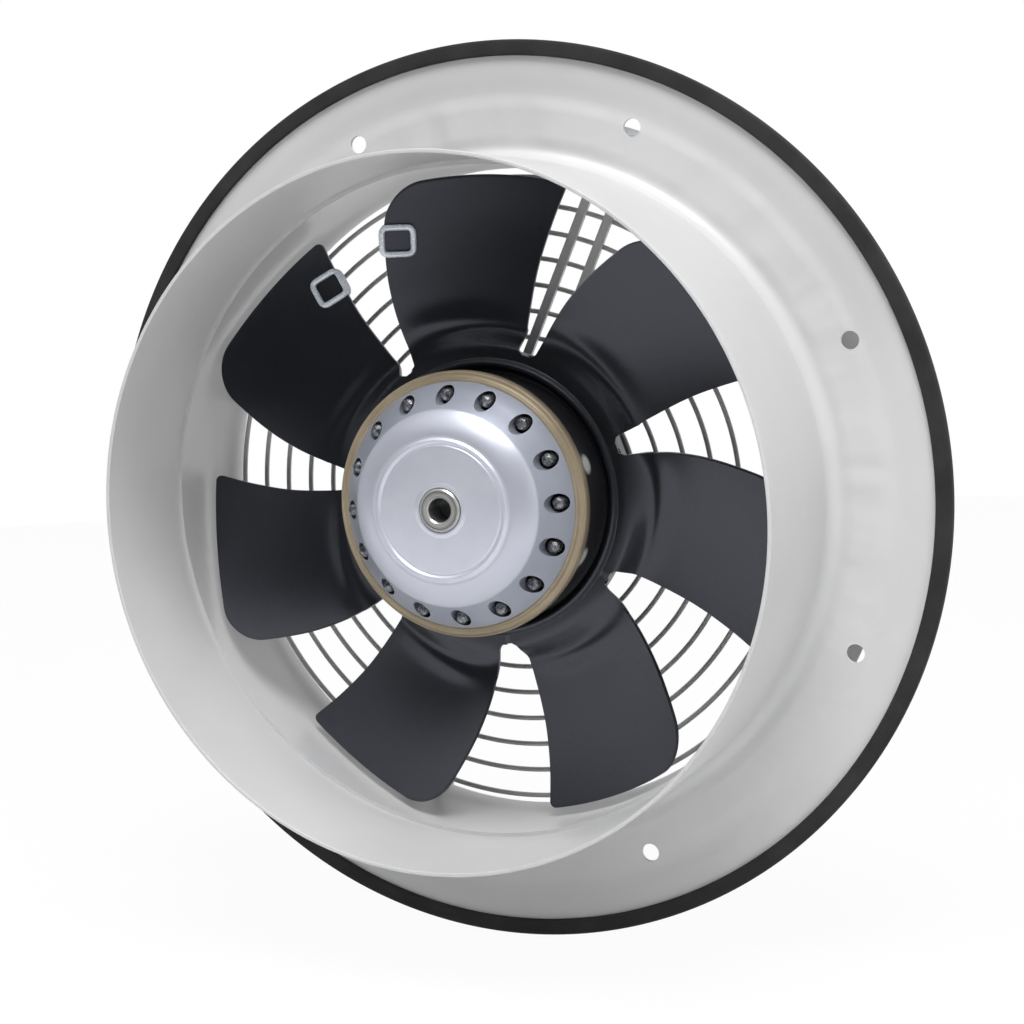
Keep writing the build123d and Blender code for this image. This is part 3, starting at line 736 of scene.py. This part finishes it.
@dataclass
class WallRing(Assembly):
    """Flange, duct, inlet ring and seal.

    Attributes:
        seal_radius: Outer radius of the seal.
        seal_width: Its width seen from the front.
        seal_front: Height of its front face.
        seal_back: Height of its back face.
        slit: Lower and upper height of the slit for the flange.
        flange_radius: Outer radius of the flange.
        duct_radius: Inner radius of the duct.
        duct_height: Height of its rim.
        thickness: Thickness of the sheet.
        bend: Inner radius of the bend from flange to duct.
        step: Radii between which the flange's face steps up towards the rim.
        hole_radius: Radius of the holes.
        hole_circle: Radius of the circle they lie on.
        hole_count: Number of holes.
        hole_start: Angle of the first one in degrees.
    """

    seal_radius: float = 178.0
    seal_width: float = 6.2
    seal_front: float = 3.2
    seal_back: float = -2.3
    slit: Pair = (-0.3, 1.2)
    flange_radius: float = 176.0
    duct_radius: float = 130.5
    duct_height: float = 81.2
    thickness: float = 1.5
    bend: float = 6.0
    step: Pair = (158.0, 165.5)
    hole_radius: float = 3.5
    hole_circle: float = 152.5
    hole_count: int = 8
    hole_start: float = 22.5

    def build_seal(self) -> None:
        """Models the U-shaped edging with soft corners."""
        inner = self.seal_radius - self.seal_width
        low, high = self.slit
        form = bmesh.new()
        add_turned(
            form,
            (
                Corner(inner, high, 0.25, 2),
                Corner(inner, self.seal_front, 0.7, 5),
                Corner(self.seal_radius, self.seal_front, 1.1, 6),
                Corner(self.seal_radius, self.seal_back, 1.1, 6),
                Corner(inner, self.seal_back, 0.7, 5),
                Corner(inner, low, 0.25, 2),
                Corner(self.flange_radius, low),
                Corner(self.flange_radius, high),
            ),
            320,
        )
        seal = into_object("seal_edging", form, self.finishes["seal_rubber"], 50.0)
        settle(seal, Body.FRAME, "seal_rubber", "seal_band")

    def build_sheet(self) -> None:
        """Models flange and duct with the soft step beside the rim and the holes."""
        form = bmesh.new()
        duct = self.duct_radius
        thick = self.thickness
        low, high = self.slit
        add_turned(
            form,
            (
                Corner(duct + thick, self.duct_height, 0.4, 3),
                Corner(duct, self.duct_height, 0.4, 3),
                Corner(duct, -thick, self.bend + thick, 12),
                Corner(self.step[0], -thick, 3.0, 6),
                Corner(self.step[1], low, 3.0, 6),
                Corner(self.flange_radius, low),
                Corner(self.flange_radius, high),
                Corner(self.step[1], high, 3.0, 6),
                Corner(self.step[0], 0.0, 3.0, 6),
                Corner(duct + thick, 0.0, self.bend, 12),
            ),
            360,
        )
        sheet = into_object("wall_sheet", form, self.finishes["zinc_sheet"], 28.0)
        angles = [self.hole_start + 360.0 / self.hole_count * i for i in range(self.hole_count)]
        cut_holes(sheet, self.hole_radius, self.hole_circle, angles, (-6.0, 6.0))
        soften(sheet, 0.25)
        settle(sheet, Body.FRAME, "galvanised_sheet", "wall_ring")

    def build(self) -> None:
        """Builds flange, duct and seal and dresses the inlet ring."""
        self.build_sheet()
        self.dress("inlet_sheet", "inlet_ring")
        self.build_seal()


@dataclass
class Guard(Assembly):
    """Wire guard behind the impeller.

    Attributes:
        first: Radius of the innermost ring.
        pitch: Distance from ring to ring.
        count: Number of rings.
        height: Height of the rings' middle.
        wire: Radius of the wire.
        rim: Radius, height and wire radius of the outer ring.
        arm_pairs: Number of pairs of flat bars.
    """

    first: float = 51.3
    pitch: float = 10.6
    count: int = 8
    height: float = -14.5
    wire: float = 1.0
    rim: Triple = (136.5, -28.9, 1.5)
    arm_pairs: int = 4

    def build(self) -> None:
        """Builds the round wires and dresses the arms, feet and fasteners."""
        steel = self.finishes["guard_steel"]
        rings = bmesh.new()
        for number in range(self.count):
            add_wire_ring(rings, self.first + self.pitch * number, self.height, self.wire)
        settle(into_object("guard_wires", rings, steel), Body.FRAME, "guard_steel", "guard_rings")
        rim = bmesh.new()
        add_wire_ring(rim, *self.rim)
        settle(into_object("guard_outer_wire", rim, steel), Body.FRAME, "guard_steel", "guard_rim")
        for number in range(1, self.arm_pairs + 1):
            # The flat bars take the lighter copy of the guard's steel, as painted light.
            self.dress("guard_bar_steel", "guard_arm_pair_%d" % number)
        self.dress("guard_steel", "guard_feet", "motor_plate")
        self.dress("bright_zinc", "guard_screws", "guard_nuts", "motor_screws")


@dataclass
class Motor(Assembly):
    """External-rotor motor with its bearings.

    Attributes:
        stud_circle: Radius of the circle of studs.
        stud_count: Number of studs.
        stud_start: Angle of the first one in degrees.
        stud_top: Height of the studs' ends.
        hole_radius: Radius of the holes round them.
        tip_radius: Radius of a stud's rough end.
        tip_squash: Its height as a share of its width.
        tip_turn: Turn of its lumps from stud to stud in radians.
        lump_height: Height of the lumps.
        lump_scale: Lumps per metre.
        cap_outline: Corners of the cap's section.
        rim_outline: Corners of the beige ring's section.
    """

    stud_circle: float = 42.2
    stud_count: int = 16
    stud_start: float = 2.5
    stud_top: float = 46.4
    hole_radius: float = 3.6
    tip_radius: float = 2.35
    tip_squash: float = 0.62
    tip_turn: float = 1.3
    lump_height: float = 0.28
    lump_scale: float = 900.0
    cap_outline: tuple[Row, ...] = (
        (8.15, 58.6), (8.5, 58.6), (8.5, 59.6, 0.2, 3), (9.4, 59.6, 0.3, 3), (10.5, 59.2, 0.3, 3),
        (24.0, 59.2, 0.25, 3), (24.5, 58.75, 0.25, 3), (25.8, 59.85, 0.65, 5), (27.1, 58.75, 0.4, 4),
        (28.2, 58.8, 0.4, 4), (30.0, 58.35, 1.2, 4), (33.0, 57.0, 1.4, 4), (35.4, 55.5, 1.0, 4),
        (37.0, 54.2, 0.35, 3), (41.5, 48.55, 1.5, 4), (47.0, 42.2, 0.3, 3), (47.0, 37.6), (44.6, 37.6),
        (34.6, 50.9), (26.0, 55.0), (14.0, 55.0), (14.0, 45.2), (8.15, 45.2),
    )
    rim_outline: tuple[Row, ...] = (
        (46.2, 41.6), (47.2, 42.1, 0.1, 2), (48.0, 42.2, 0.35, 4), (48.5, 41.3, 0.4, 4), (49.7, 40.7, 0.6, 4),
        (50.4, 40.95, 0.35, 4), (51.0, 40.2, 0.5, 5), (51.0, 36.75, 0.3, 3), (46.2, 36.75),
    )

    def angles(self) -> list[float]:
        """Angles of the studs in degrees."""
        return [self.stud_start + 360.0 / self.stud_count * i for i in range(self.stud_count)]

    def build_cap(self) -> None:
        """Models the cap: flat disc, fine bead, dome, crease and the sloping band with its holes."""
        form = bmesh.new()
        add_turned(form, [Corner(*row) for row in self.cap_outline], 256)
        # The cap's finish carries painted shade on its slopes.
        cap = into_object("cap_shell", form, self.finishes["cap_aluminium"], 28.0)
        cut_holes(cap, self.hole_radius, self.stud_circle, self.angles(), (30.0, 60.0))
        soften(cap, 0.35, 40.0)
        settle(cap, Body.ROTOR, "cast_aluminium", "rotor_cap")

    def build_rim(self) -> None:
        """Models the beige ring: a fine bead inside, a shallow channel and a rolled edge."""
        form = bmesh.new()
        add_turned(form, [Corner(*row) for row in self.rim_outline], 288)
        rim = into_object("cap_rim", form, self.finishes["beige_ring_coat"])
        settle(rim, Body.ROTOR, "beige_ring", "cap_ring")

    def build_stud_tips(self) -> None:
        """Models the rough rounded ends of the studs."""
        form = bmesh.new()
        for number, angle in enumerate(self.angles()):
            turn = math.radians(angle)
            across, up = self.stud_circle * math.cos(turn), self.stud_circle * math.sin(turn)
            place = Vector((across, -self.stud_top, up)) * MM
            squash = Matrix.Diagonal((1.0, self.tip_squash, 1.0, 1.0))
            spin = Matrix.Rotation(number * self.tip_turn, 4, "Y")
            matrix = Matrix.Translation(place) @ squash @ spin
            made = bmesh.ops.create_icosphere(form, subdivisions=3, radius=self.tip_radius * MM, matrix=matrix)
            for vert in made["verts"]:
                wobble = noise.noise(vert.co * self.lump_scale) * self.lump_height * MM
                vert.co += (vert.co - place).normalized() * wobble
        tips = into_object("stud_tips", form, self.finishes["stud_aluminium"], 60.0)
        settle(tips, Body.ROTOR, "cage_aluminium")

    def build(self) -> None:
        """Builds the cap and the studs' ends and dresses each of the motor's solids."""
        plan = {
            "cast_aluminium": ("stator_flange", "bearing_tube"),
            "stud_aluminium": ("rotor_cage",),
            "black_drum_coat": ("rotor_drum",),
            "shaft_steel": ("shaft",),
            "lamination_steel": ("stator_core", "rotor_core"),
            "insulation_plastic": ("stator_insulation",),
            "winding_copper": ("stator_windings",),
            "grommet_rubber": ("cable_grommet",),
            "ground_steel": ("preload_washer", "retaining_ring"),
        }
        for finish, nodes in plan.items():
            self.dress(finish, *nodes, crease=28.0)
        for place in ("front", "rear"):
            for piece in ("outer_ring", "inner_ring", "balls", "cage"):
                self.dress("ground_steel", "%s_bearing_%s" % (place, piece), crease=28.0)
        self.build_cap()
        self.build_rim()
        self.build_stud_tips()


@dataclass(frozen=True)
class ClipPlace:
    """Where a balance clip grips a blade.

    Attributes:
        edge: A point on the blade's edge, in the middle of the sheet, in millimetres.
        inward: Direction from the edge onto the blade.
        along: Direction along the edge.
        outward: Direction out of the blade's outlet side.
    """

    edge: Triple
    inward: Triple
    along: Triple
    outward: Triple


@dataclass(frozen=True)
class ClipShape:
    """Sizes of a balance clip in millimetres.

    Attributes:
        wire: The wire's radius.
        width: Width over the wire, along the blade's edge.
        length: Reach of its middle line onto the blade.
        corner: Length taken off each side of a corner.
        over_front: How far the front loop stands over the blade's edge.
        over_back: The same for the back loop.
        grip: Distance of the wire's middle from the sheet as a share of its radius.
        bend_steps: Segments of a corner.
    """

    wire: float = 1.2
    width: float = 13.0
    length: float = 11.2
    corner: float = 2.6
    over_front: float = 1.1
    over_back: float = 0.6
    grip: float = 0.9
    bend_steps: int = 4

    def outline(self, over: float) -> list[Pair]:
        """A loop's middle line with rounded corners.

        Args:
            over: How far it stands over the blade's edge.

        Returns:
            Points onto the blade and along its edge.
        """
        side = self.width / 2 - self.wire
        square = ((-over, -side), (-over, side), (self.length, side), (self.length, -side))
        points = []
        for spot, knee in enumerate(square):
            ends = []
            for other in (square[spot - 1], square[(spot + 1) % len(square)]):
                share = self.corner / math.dist(knee, other)
                ends.append([a + (b - a) * share for a, b in zip(knee, other)])
            for step in range(self.bend_steps + 1):
                t = step / self.bend_steps
                points.append(
                    tuple(
                        (1 - t) ** 2 * first + 2 * t * (1 - t) * middle + t * t * second
                        for first, middle, second in zip(ends[0], knee, ends[1])
                    )
                )
        return points


@dataclass
class Impeller(Assembly):
    """Seven-bladed pressed impeller with its two balance clips.

    Attributes:
        blades: Number of blades.
        root: Radius of the ring's turned-down rim.
        tip: Radius of the blades' tips.
        inner: Radius at which the blades' sheet starts, under the bead.
        rim_height: Height of the ring's flat.
        sheet: Thickness of the blades.
        radii: Radii of the stations below.
        trailing: Angles in degrees and heights of the trailing edge at the stations.
        leading: Angles and heights of the leading edge.
        cambers: Hollow of the blade between its edges.
        corners: Radii of the trailing and of the leading tip corner.
        slot_fillet: Radius where a blade's edge meets the ring.
        rise_start: Where a blade leaves the ring's flat: distance from the root, and what the trailing edge adds.
        rise_end: The same for where the blade has its own height.
        swell: Height, distance of the crest from the rise's end and width of a swell along the root.
        hollow: The same for the hollow at the rise's start.
        grid: Points of a blade from root to tip and from edge to edge.
        bare_heights: Lower and upper height of the slots' bare ends.
        bare_angle: Half their width in degrees.
        ring_outline: Corners of the ring's section.
        clip: Sizes of the clips.
        clips: Where the clips sit.
    """

    blades: int = 7
    root: float = 58.0
    tip: float = 125.3
    inner: float = 53.8
    rim_height: float = 16.0
    sheet: float = 1.5
    radii: tuple[float, ...] = (58.0, 71.46, 89.29, 107.13, 124.63)
    trailing: tuple[Pair, ...] = ((16.6, 13.2), (14.4, 17.2), (10.8, 21.8), (6.5, 25.6), (2.4, 28.7))
    leading: tuple[Pair, ...] = ((-27.8, 8.6), (-26.6, 8.6), (-26.4, 8.6), (-27.5, 8.8), (-29.1, 9.8))
    cambers: tuple[float, ...] = (1.2, 1.8, 2.6, 3.2, 3.6)
    corners: Pair = (13.0, 3.0)
    slot_fillet: float = 2.4
    rise_start: Pair = (0.8, 1.4)
    rise_end: Pair = (8.0, 5.0)
    swell: Triple = (1.5, 1.5, 4.4)
    hollow: Triple = (0.7, 1.6, 2.2)
    grid: tuple[int, int] = (64, 56)
    bare_heights: Pair = (8.2, 15.6)
    bare_angle: float = 3.6
    ring_outline: tuple[Row, ...] = (
        (48.65, 14.2), (48.65, -2.8), (50.2, -2.8, 0.3, 2), (50.2, 12.8, 0.8, 4), (51.8, 14.2, 0.8, 4),
        (56.5, 14.2, 0.5, 4), (56.5, 8.0, 0.3, 2), (58.0, 8.0, 0.3, 2), (58.0, 15.9, 0.5, 4),
        (54.7, 15.9, 0.5, 4), (52.3, 18.3, 1.9, 8), (49.9, 14.2, 0.6, 4),
    )
    clip: ClipShape = ClipShape()
    clips: tuple[ClipPlace, ...] = (
        ClipPlace(
            (-35.83, -24.94, 101.22), (0.9007, 0.4344, 0.0069), (0.0775, -0.1761, 0.9813), (0.4275, -0.8833, -0.1923)
        ),
        ClipPlace(
            (-64.22, -8.05, 85.79), (-0.8748, -0.0868, -0.4766), (-0.4756, -0.0336, 0.879), (0.0924, -0.9957, 0.0119)
        ),
    )

    def at_station(self, values: Sequence[float], radius: float) -> float:
        """Smoothly interpolates values given at the stations.

        Args:
            values: One value for each station.
            radius: Where it is wanted.

        Returns:
            The value there.
        """
        last = len(self.radii) - 2
        spot = 0
        while spot < last and radius > self.radii[spot + 1]:
            spot += 1
        share = (radius - self.radii[spot]) / (self.radii[spot + 1] - self.radii[spot])
        before = values[max(spot - 1, 0)]
        start, end = values[spot], values[spot + 1]
        after = values[min(spot + 2, last + 1)]
        if share < 0.0:
            return start
        rise_start = (end - before) / (2.0 if spot else 1.0)
        rise_end = (after - start) / (2.0 if spot < last else 1.0)
        square, cube = share**2, share**3
        return (
            (2 * cube - 3 * square + 1) * start
            + (cube - 2 * square + share) * rise_start
            + (3 * square - 2 * cube) * end
            + (cube - square) * rise_end
        )

    def edge_angles(self, radius: float) -> Pair:
        """Angles of both edges of a blade, flared where they meet the ring.

        Args:
            radius: Distance from the axis in millimetres.

        Returns:
            Angle of the leading and of the trailing edge in degrees.
        """
        place = max(radius, self.root)
        lead = self.at_station([angle for angle, height in self.leading], place)
        trail = self.at_station([angle for angle, height in self.trailing], place)
        left = self.slot_fillet - (place - self.root)
        if left > 0.0:
            flare = self.slot_fillet - math.sqrt(max(self.slot_fillet**2 - left**2, 0.0))
            lead -= math.degrees(flare / place)
            trail += math.degrees(flare / place)
        return lead, trail

    @staticmethod
    def wave(shape: Triple, away: float) -> float:
        """Height of a swell at a distance from where the rise starts or ends."""
        height, crest, width = shape
        return height * math.exp(-(((away - crest) / width) ** 2))

    def sheet_height(self, radius: float, share: float) -> float:
        """Height of the blade's outlet side.

        Args:
            radius: Distance from the axis in millimetres.
            share: 0 at the leading edge and 1 at the trailing edge.

        Returns:
            The height in millimetres.
        """
        place = max(radius, self.root)
        lead = self.at_station([height for angle, height in self.leading], place)
        trail = self.at_station([height for angle, height in self.trailing], place)
        camber = self.at_station(self.cambers, place)
        blade = lead + (trail - lead) * share - camber * 4.0 * share * (1.0 - share)
        start = self.root + self.rise_start[0] + self.rise_start[1] * share
        end = self.root + self.rise_end[0] + self.rise_end[1] * share
        blend = min(max((radius - start) / (end - start), 0.0), 1.0)
        blend = blend * blend * (3.0 - 2.0 * blend)
        waves = self.wave(self.swell, radius - end) - self.wave(self.hollow, radius - start)
        return self.rim_height + (blade - self.rim_height) * blend + waves * math.sin(math.pi * share)

    def tip_drop(self, across: float, along: float) -> float:
        """How far a rounded tip corner pulls the outline in.

        Args:
            across: Distance along the tip from the trailing corner.
            along: Distance along the tip from the leading corner.

        Returns:
            The drop in millimetres.
        """
        drop = 0.0
        for distance, size in zip((across, along), self.corners):
            if distance < size:
                drop = max(drop, size - math.sqrt(size**2 - (size - distance) ** 2))
        return drop

    def build_blade(self, number: int) -> None:
        """Models one blade as a pressed sheet that flows out of the ring.

        Args:
            number: Which blade, from 1.
        """
        form = bmesh.new()
        bmesh.ops.create_grid(form, x_segments=self.grid[0], y_segments=self.grid[1], size=0.5)
        turn = (number - 1) * 360.0 / self.blades
        tip_lead, tip_trail = self.edge_angles(self.tip)
        width = math.radians(tip_trail - tip_lead) * self.tip
        for vert in form.verts:
            out = vert.co.x + 0.5
            share = 0.5 - 0.5 * math.cos(math.pi * (vert.co.y + 0.5))
            reach = self.tip - self.tip_drop((1.0 - share) * width, share * width)
            radius = self.inner + (reach - self.inner) * out
            lead, trail = self.edge_angles(radius)
            angle = math.radians(lead + (trail - lead) * share + turn)
            height = self.sheet_height(radius, share)
            vert.co = Vector((radius * math.cos(angle), -height, radius * math.sin(angle))) * MM
        bmesh.ops.recalc_face_normals(form, faces=form.faces[:])
        if sum(face.normal.y for face in form.faces) > 0.0:
            bmesh.ops.reverse_faces(form, faces=form.faces[:])
        blade = into_object("blade_sheet_%d" % number, form, self.finishes["black_blade_coat"], 60.0)
        wall = blade.modifiers.new("sheet", "SOLIDIFY")
        wall.thickness = self.sheet * MM
        wall.offset = -1.0
        wall.use_even_offset = False
        soften(blade, 0.3, 60.0)
        settle(blade, Body.ROTOR, "black_blades", "blade_%d" % number)

    def build_ring(self) -> None:
        """Models the ring with its bead and turned-down rim, bare where the slots between the blades end."""
        form = bmesh.new()
        add_turned(form, [Corner(*row) for row in self.ring_outline], 360)
        ring = into_object("impeller_hub_ring", form, self.finishes["black_blade_coat"], 40.0)
        ring.data.materials.append(self.finishes["bare_slot_edge"])
        pitch = 360.0 / self.blades
        middle = (self.leading[0][0] + self.trailing[0][0] + pitch) / 2.0
        outside = self.root - 0.05
        low, high = self.bare_heights
        for face in ring.data.polygons:
            place = face.center
            if place.xz.length > outside * MM and low * MM < -place.y < high * MM:
                angle = math.degrees(math.atan2(place.z, place.x)) - middle
                away = abs((angle + pitch / 2.0) % pitch - pitch / 2.0)
                face.material_index = 1 if away < self.bare_angle else 0
        settle(ring, Body.ROTOR, "black_blades", "impeller_ring")

    def build_clip(self, number: int, place: ClipPlace) -> None:
        """Bends one balance clip of round wire over a blade's edge.

        Args:
            number: Which clip, from 1.
            place: Where it grips.
        """
        clip = self.clip
        gap = self.sheet / 2 + clip.wire * clip.grip
        sides = (place.edge, place.inward, place.along, place.outward)
        origin, inward, along, outward = (Vector(side) for side in sides)
        form = bmesh.new()
        for level, over in ((gap, clip.over_front), (-gap, clip.over_back)):
            path = [(origin + inward * x + along * z + outward * level) * MM for x, z in clip.outline(over)]
            self.add_loop(form, path, clip.wire * MM, outward)
        bent = into_object("balance_clip_wire_%d" % number, form, self.finishes["bright_zinc"], 60.0)
        settle(bent, Body.ROTOR, "zinc_steel", "balance_clip_%d" % number)

    def add_loop(self, form: Form, path: Sequence[Vector], wire: float, outward: Vector) -> None:
        """Sweeps a round section along a closed path.

        Args:
            form: Where it goes.
            path: The closed path's points.
            wire: The wire's radius in metres.
            outward: Direction square to the loop.
        """
        rings = []
        count = len(path)
        for spot, point in enumerate(path):
            ahead = (path[(spot + 1) % count] - path[spot - 1]).normalized()
            sideways = ahead.cross(outward).normalized()
            upwards = sideways.cross(ahead).normalized()
            matrix = Matrix.Translation(point) @ Matrix((sideways, upwards, ahead)).transposed().to_4x4()
            made = bmesh.ops.create_circle(form, segments=WIRE_SIDES, radius=wire, matrix=matrix)
            rings.append(list({edge for vert in made["verts"] for edge in vert.link_edges}))
        for spot in range(count):
            bmesh.ops.bridge_loops(form, edges=rings[spot] + rings[(spot + 1) % count])
        bmesh.ops.recalc_face_normals(form, faces=form.faces[:])

    def build(self) -> None:
        """Builds the ring, the blades and the clips."""
        self.build_ring()
        for number in range(1, self.blades + 1):
            self.build_blade(number)
        for number, place in enumerate(self.clips, start=1):
            self.build_clip(number, place)


@dataclass(frozen=True)
class Lamp:
    """A square area lamp that faces the fan.

    Attributes:
        name: Its name.
        place: Where it hangs.
        size: Its side in metres.
        watts: Its power.
    """

    name: str
    place: Triple
    size: float
    watts: float

    def hang(self) -> None:
        """Adds the lamp to the scene."""
        data = bpy.data.lights.new(self.name, "AREA")
        data.size = self.size
        data.energy = self.watts
        lamp = bpy.data.objects.new(self.name, data)
        lamp.location = self.place
        lamp.rotation_euler = (-Vector(self.place)).to_track_quat("-Z", "Y").to_euler()
        bpy.context.scene.collection.objects.link(lamp)


@dataclass
class Studio:
    """Floor, light and camera.

    Attributes:
        lens: Focal length on a sensor 36 mm wide.
        place: The camera's place.
        right: The camera's right direction.
        up: Its up direction.
        shift: Horizontal and vertical shift.
        floor: Height of the floor.
        floor_radius: Its radius.
        floor_glow: Share of the floor's own light as seen.
        dim_zone: Start, end and fade of the floor's part in front that gloss shows darker.
        dim_share: How much darker.
        world_light: The world's strength as a light.
        behind: Offset and steepness of the room's brightness towards the back, as gloss shows it.
        above: The same upwards.
        darkest: Least brightness of the room as gloss shows it.
        lamps: The lamps.
    """

    lens: float = 70.3
    place: Triple = (0.309, -0.7292, 0.083)
    right: Triple = (0.9195, 0.392, -0.0311)
    up: Triple = (0.0, 0.079, 0.9969)
    shift: Pair = (0.0203, -0.0802)
    floor: float = -0.1781
    floor_radius: float = 1.6
    floor_glow: float = 0.95
    dim_zone: Triple = (-3.0, -1.1, 0.6)
    dim_share: float = 0.9
    world_light: float = 0.42
    behind: Pair = (0.25, 2.0)
    above: Pair = (-0.5, 5.0)
    darkest: float = 0.06
    lamps: tuple[Lamp, ...] = (
        Lamp("key", (0.35, -0.85, 1.75), 1.0, 37.0),
        Lamp("side", (1.9, -0.9, 0.5), 1.2, 4.0),
    )

    def add_camera(self) -> None:
        """Sets the camera at the photograph's angle."""
        data = bpy.data.cameras.new("camera")
        data.lens = self.lens
        data.sensor_width = 36.0
        data.sensor_fit = "HORIZONTAL"
        data.shift_x, data.shift_y = self.shift
        data.clip_start = 0.02
        camera = bpy.data.objects.new("camera", data)
        right = Vector(self.right)
        back = right.cross(Vector(self.up)).normalized()
        up = back.cross(right).normalized()
        turn = Matrix((right.normalized(), up, back)).transposed().to_4x4()
        camera.matrix_world = Matrix.Translation(self.place) @ turn
        bpy.context.scene.collection.objects.link(camera)
        bpy.context.scene.camera = camera

    def add_floor(self) -> None:
        """Lays the pale floor, which keeps the fan's shadow."""
        form = bmesh.new()
        level = Matrix.Translation((0, 0, self.floor))
        bmesh.ops.create_circle(form, cap_ends=True, segments=96, radius=self.floor_radius, matrix=level)
        bench = NodeBench("pale_floor")
        shade = bench.colours(bench.noise(3.0), (0.86, 0.86, 0.86), (0.88, 0.88, 0.88))
        bench.set(Base_Color=shade, Roughness=0.9, Specular_IOR_Level=0.1)
        front = bench.window(bench.split_coords().outputs["Y"], *self.dim_zone)
        dimmed = bench.math("MULTIPLY", bench.math("MULTIPLY", bench.ray_is("Glossy"), front), self.dim_share)
        glow = bench.node("Emission", Strength=bench.math("SUBTRACT", 1.0, dimmed))
        share = bench.math("MULTIPLY", bench.seen_share(), self.floor_glow)
        bench.finish_with("Material Output", share, bench.shader.outputs[0], glow.outputs[0])
        into_object("floor", form, bench.material)

    def room_shade(self, bench: Bench) -> Socket:
        """Brightness of the studio as gloss shows it: white behind and overhead, darker in front.

        Args:
            bench: The world's bench.

        Returns:
            The brightness between 0 and 1.
        """
        split = bench.node("SeparateXYZ", Vector=bench.node("TexCoord").outputs["Generated"])
        most = self.darkest
        for axis, (offset, steepness) in (("Y", self.behind), ("Z", self.above)):
            rise = bench.math("MULTIPLY", bench.math("ADD", split.outputs[axis], offset), steepness)
            most = bench.math("MAXIMUM", most, rise)
        return bench.math("MINIMUM", most, 1.0)

    def add_world(self) -> None:
        """Makes a white world that lights the fan softly."""
        world = bpy.data.worlds.new("studio")
        bpy.context.scene.world = world
        world.use_nodes = True
        bench = Bench(world.node_tree)
        lit = bench.tree.nodes["Background"]
        bench.feed(lit.inputs["Color"], WHITE)
        bench.feed(lit.inputs["Strength"], self.world_light)
        hidden = bench.math("SUBTRACT", 1.0, self.room_shade(bench))
        mirrored = bench.math("MULTIPLY", bench.ray_is("Glossy"), hidden)
        seen = bench.node("Background", Color=WHITE, Strength=bench.math("SUBTRACT", 1.0, mirrored))
        bench.finish_with("World Output", bench.seen_share(), lit.outputs[0], seen.outputs[0])

    def build(self) -> None:
        """Sets up floor, light and camera."""
        bpy.context.scene.view_settings.view_transform = "Standard"
        self.add_camera()
        self.add_floor()
        self.add_world()
        for lamp in self.lamps:
            lamp.hang()


def main() -> None:
    """Builds the fan's looks in order."""
    logging.basicConfig(level=logging.INFO, format="%(message)s")
    finishes = {finish.name: finish.material() for finish in FINISHES}
    for part in (WallRing, Guard, Motor, Impeller):
        part(finishes).build()
    Studio().build()


if __name__ == "__main__":
    main()
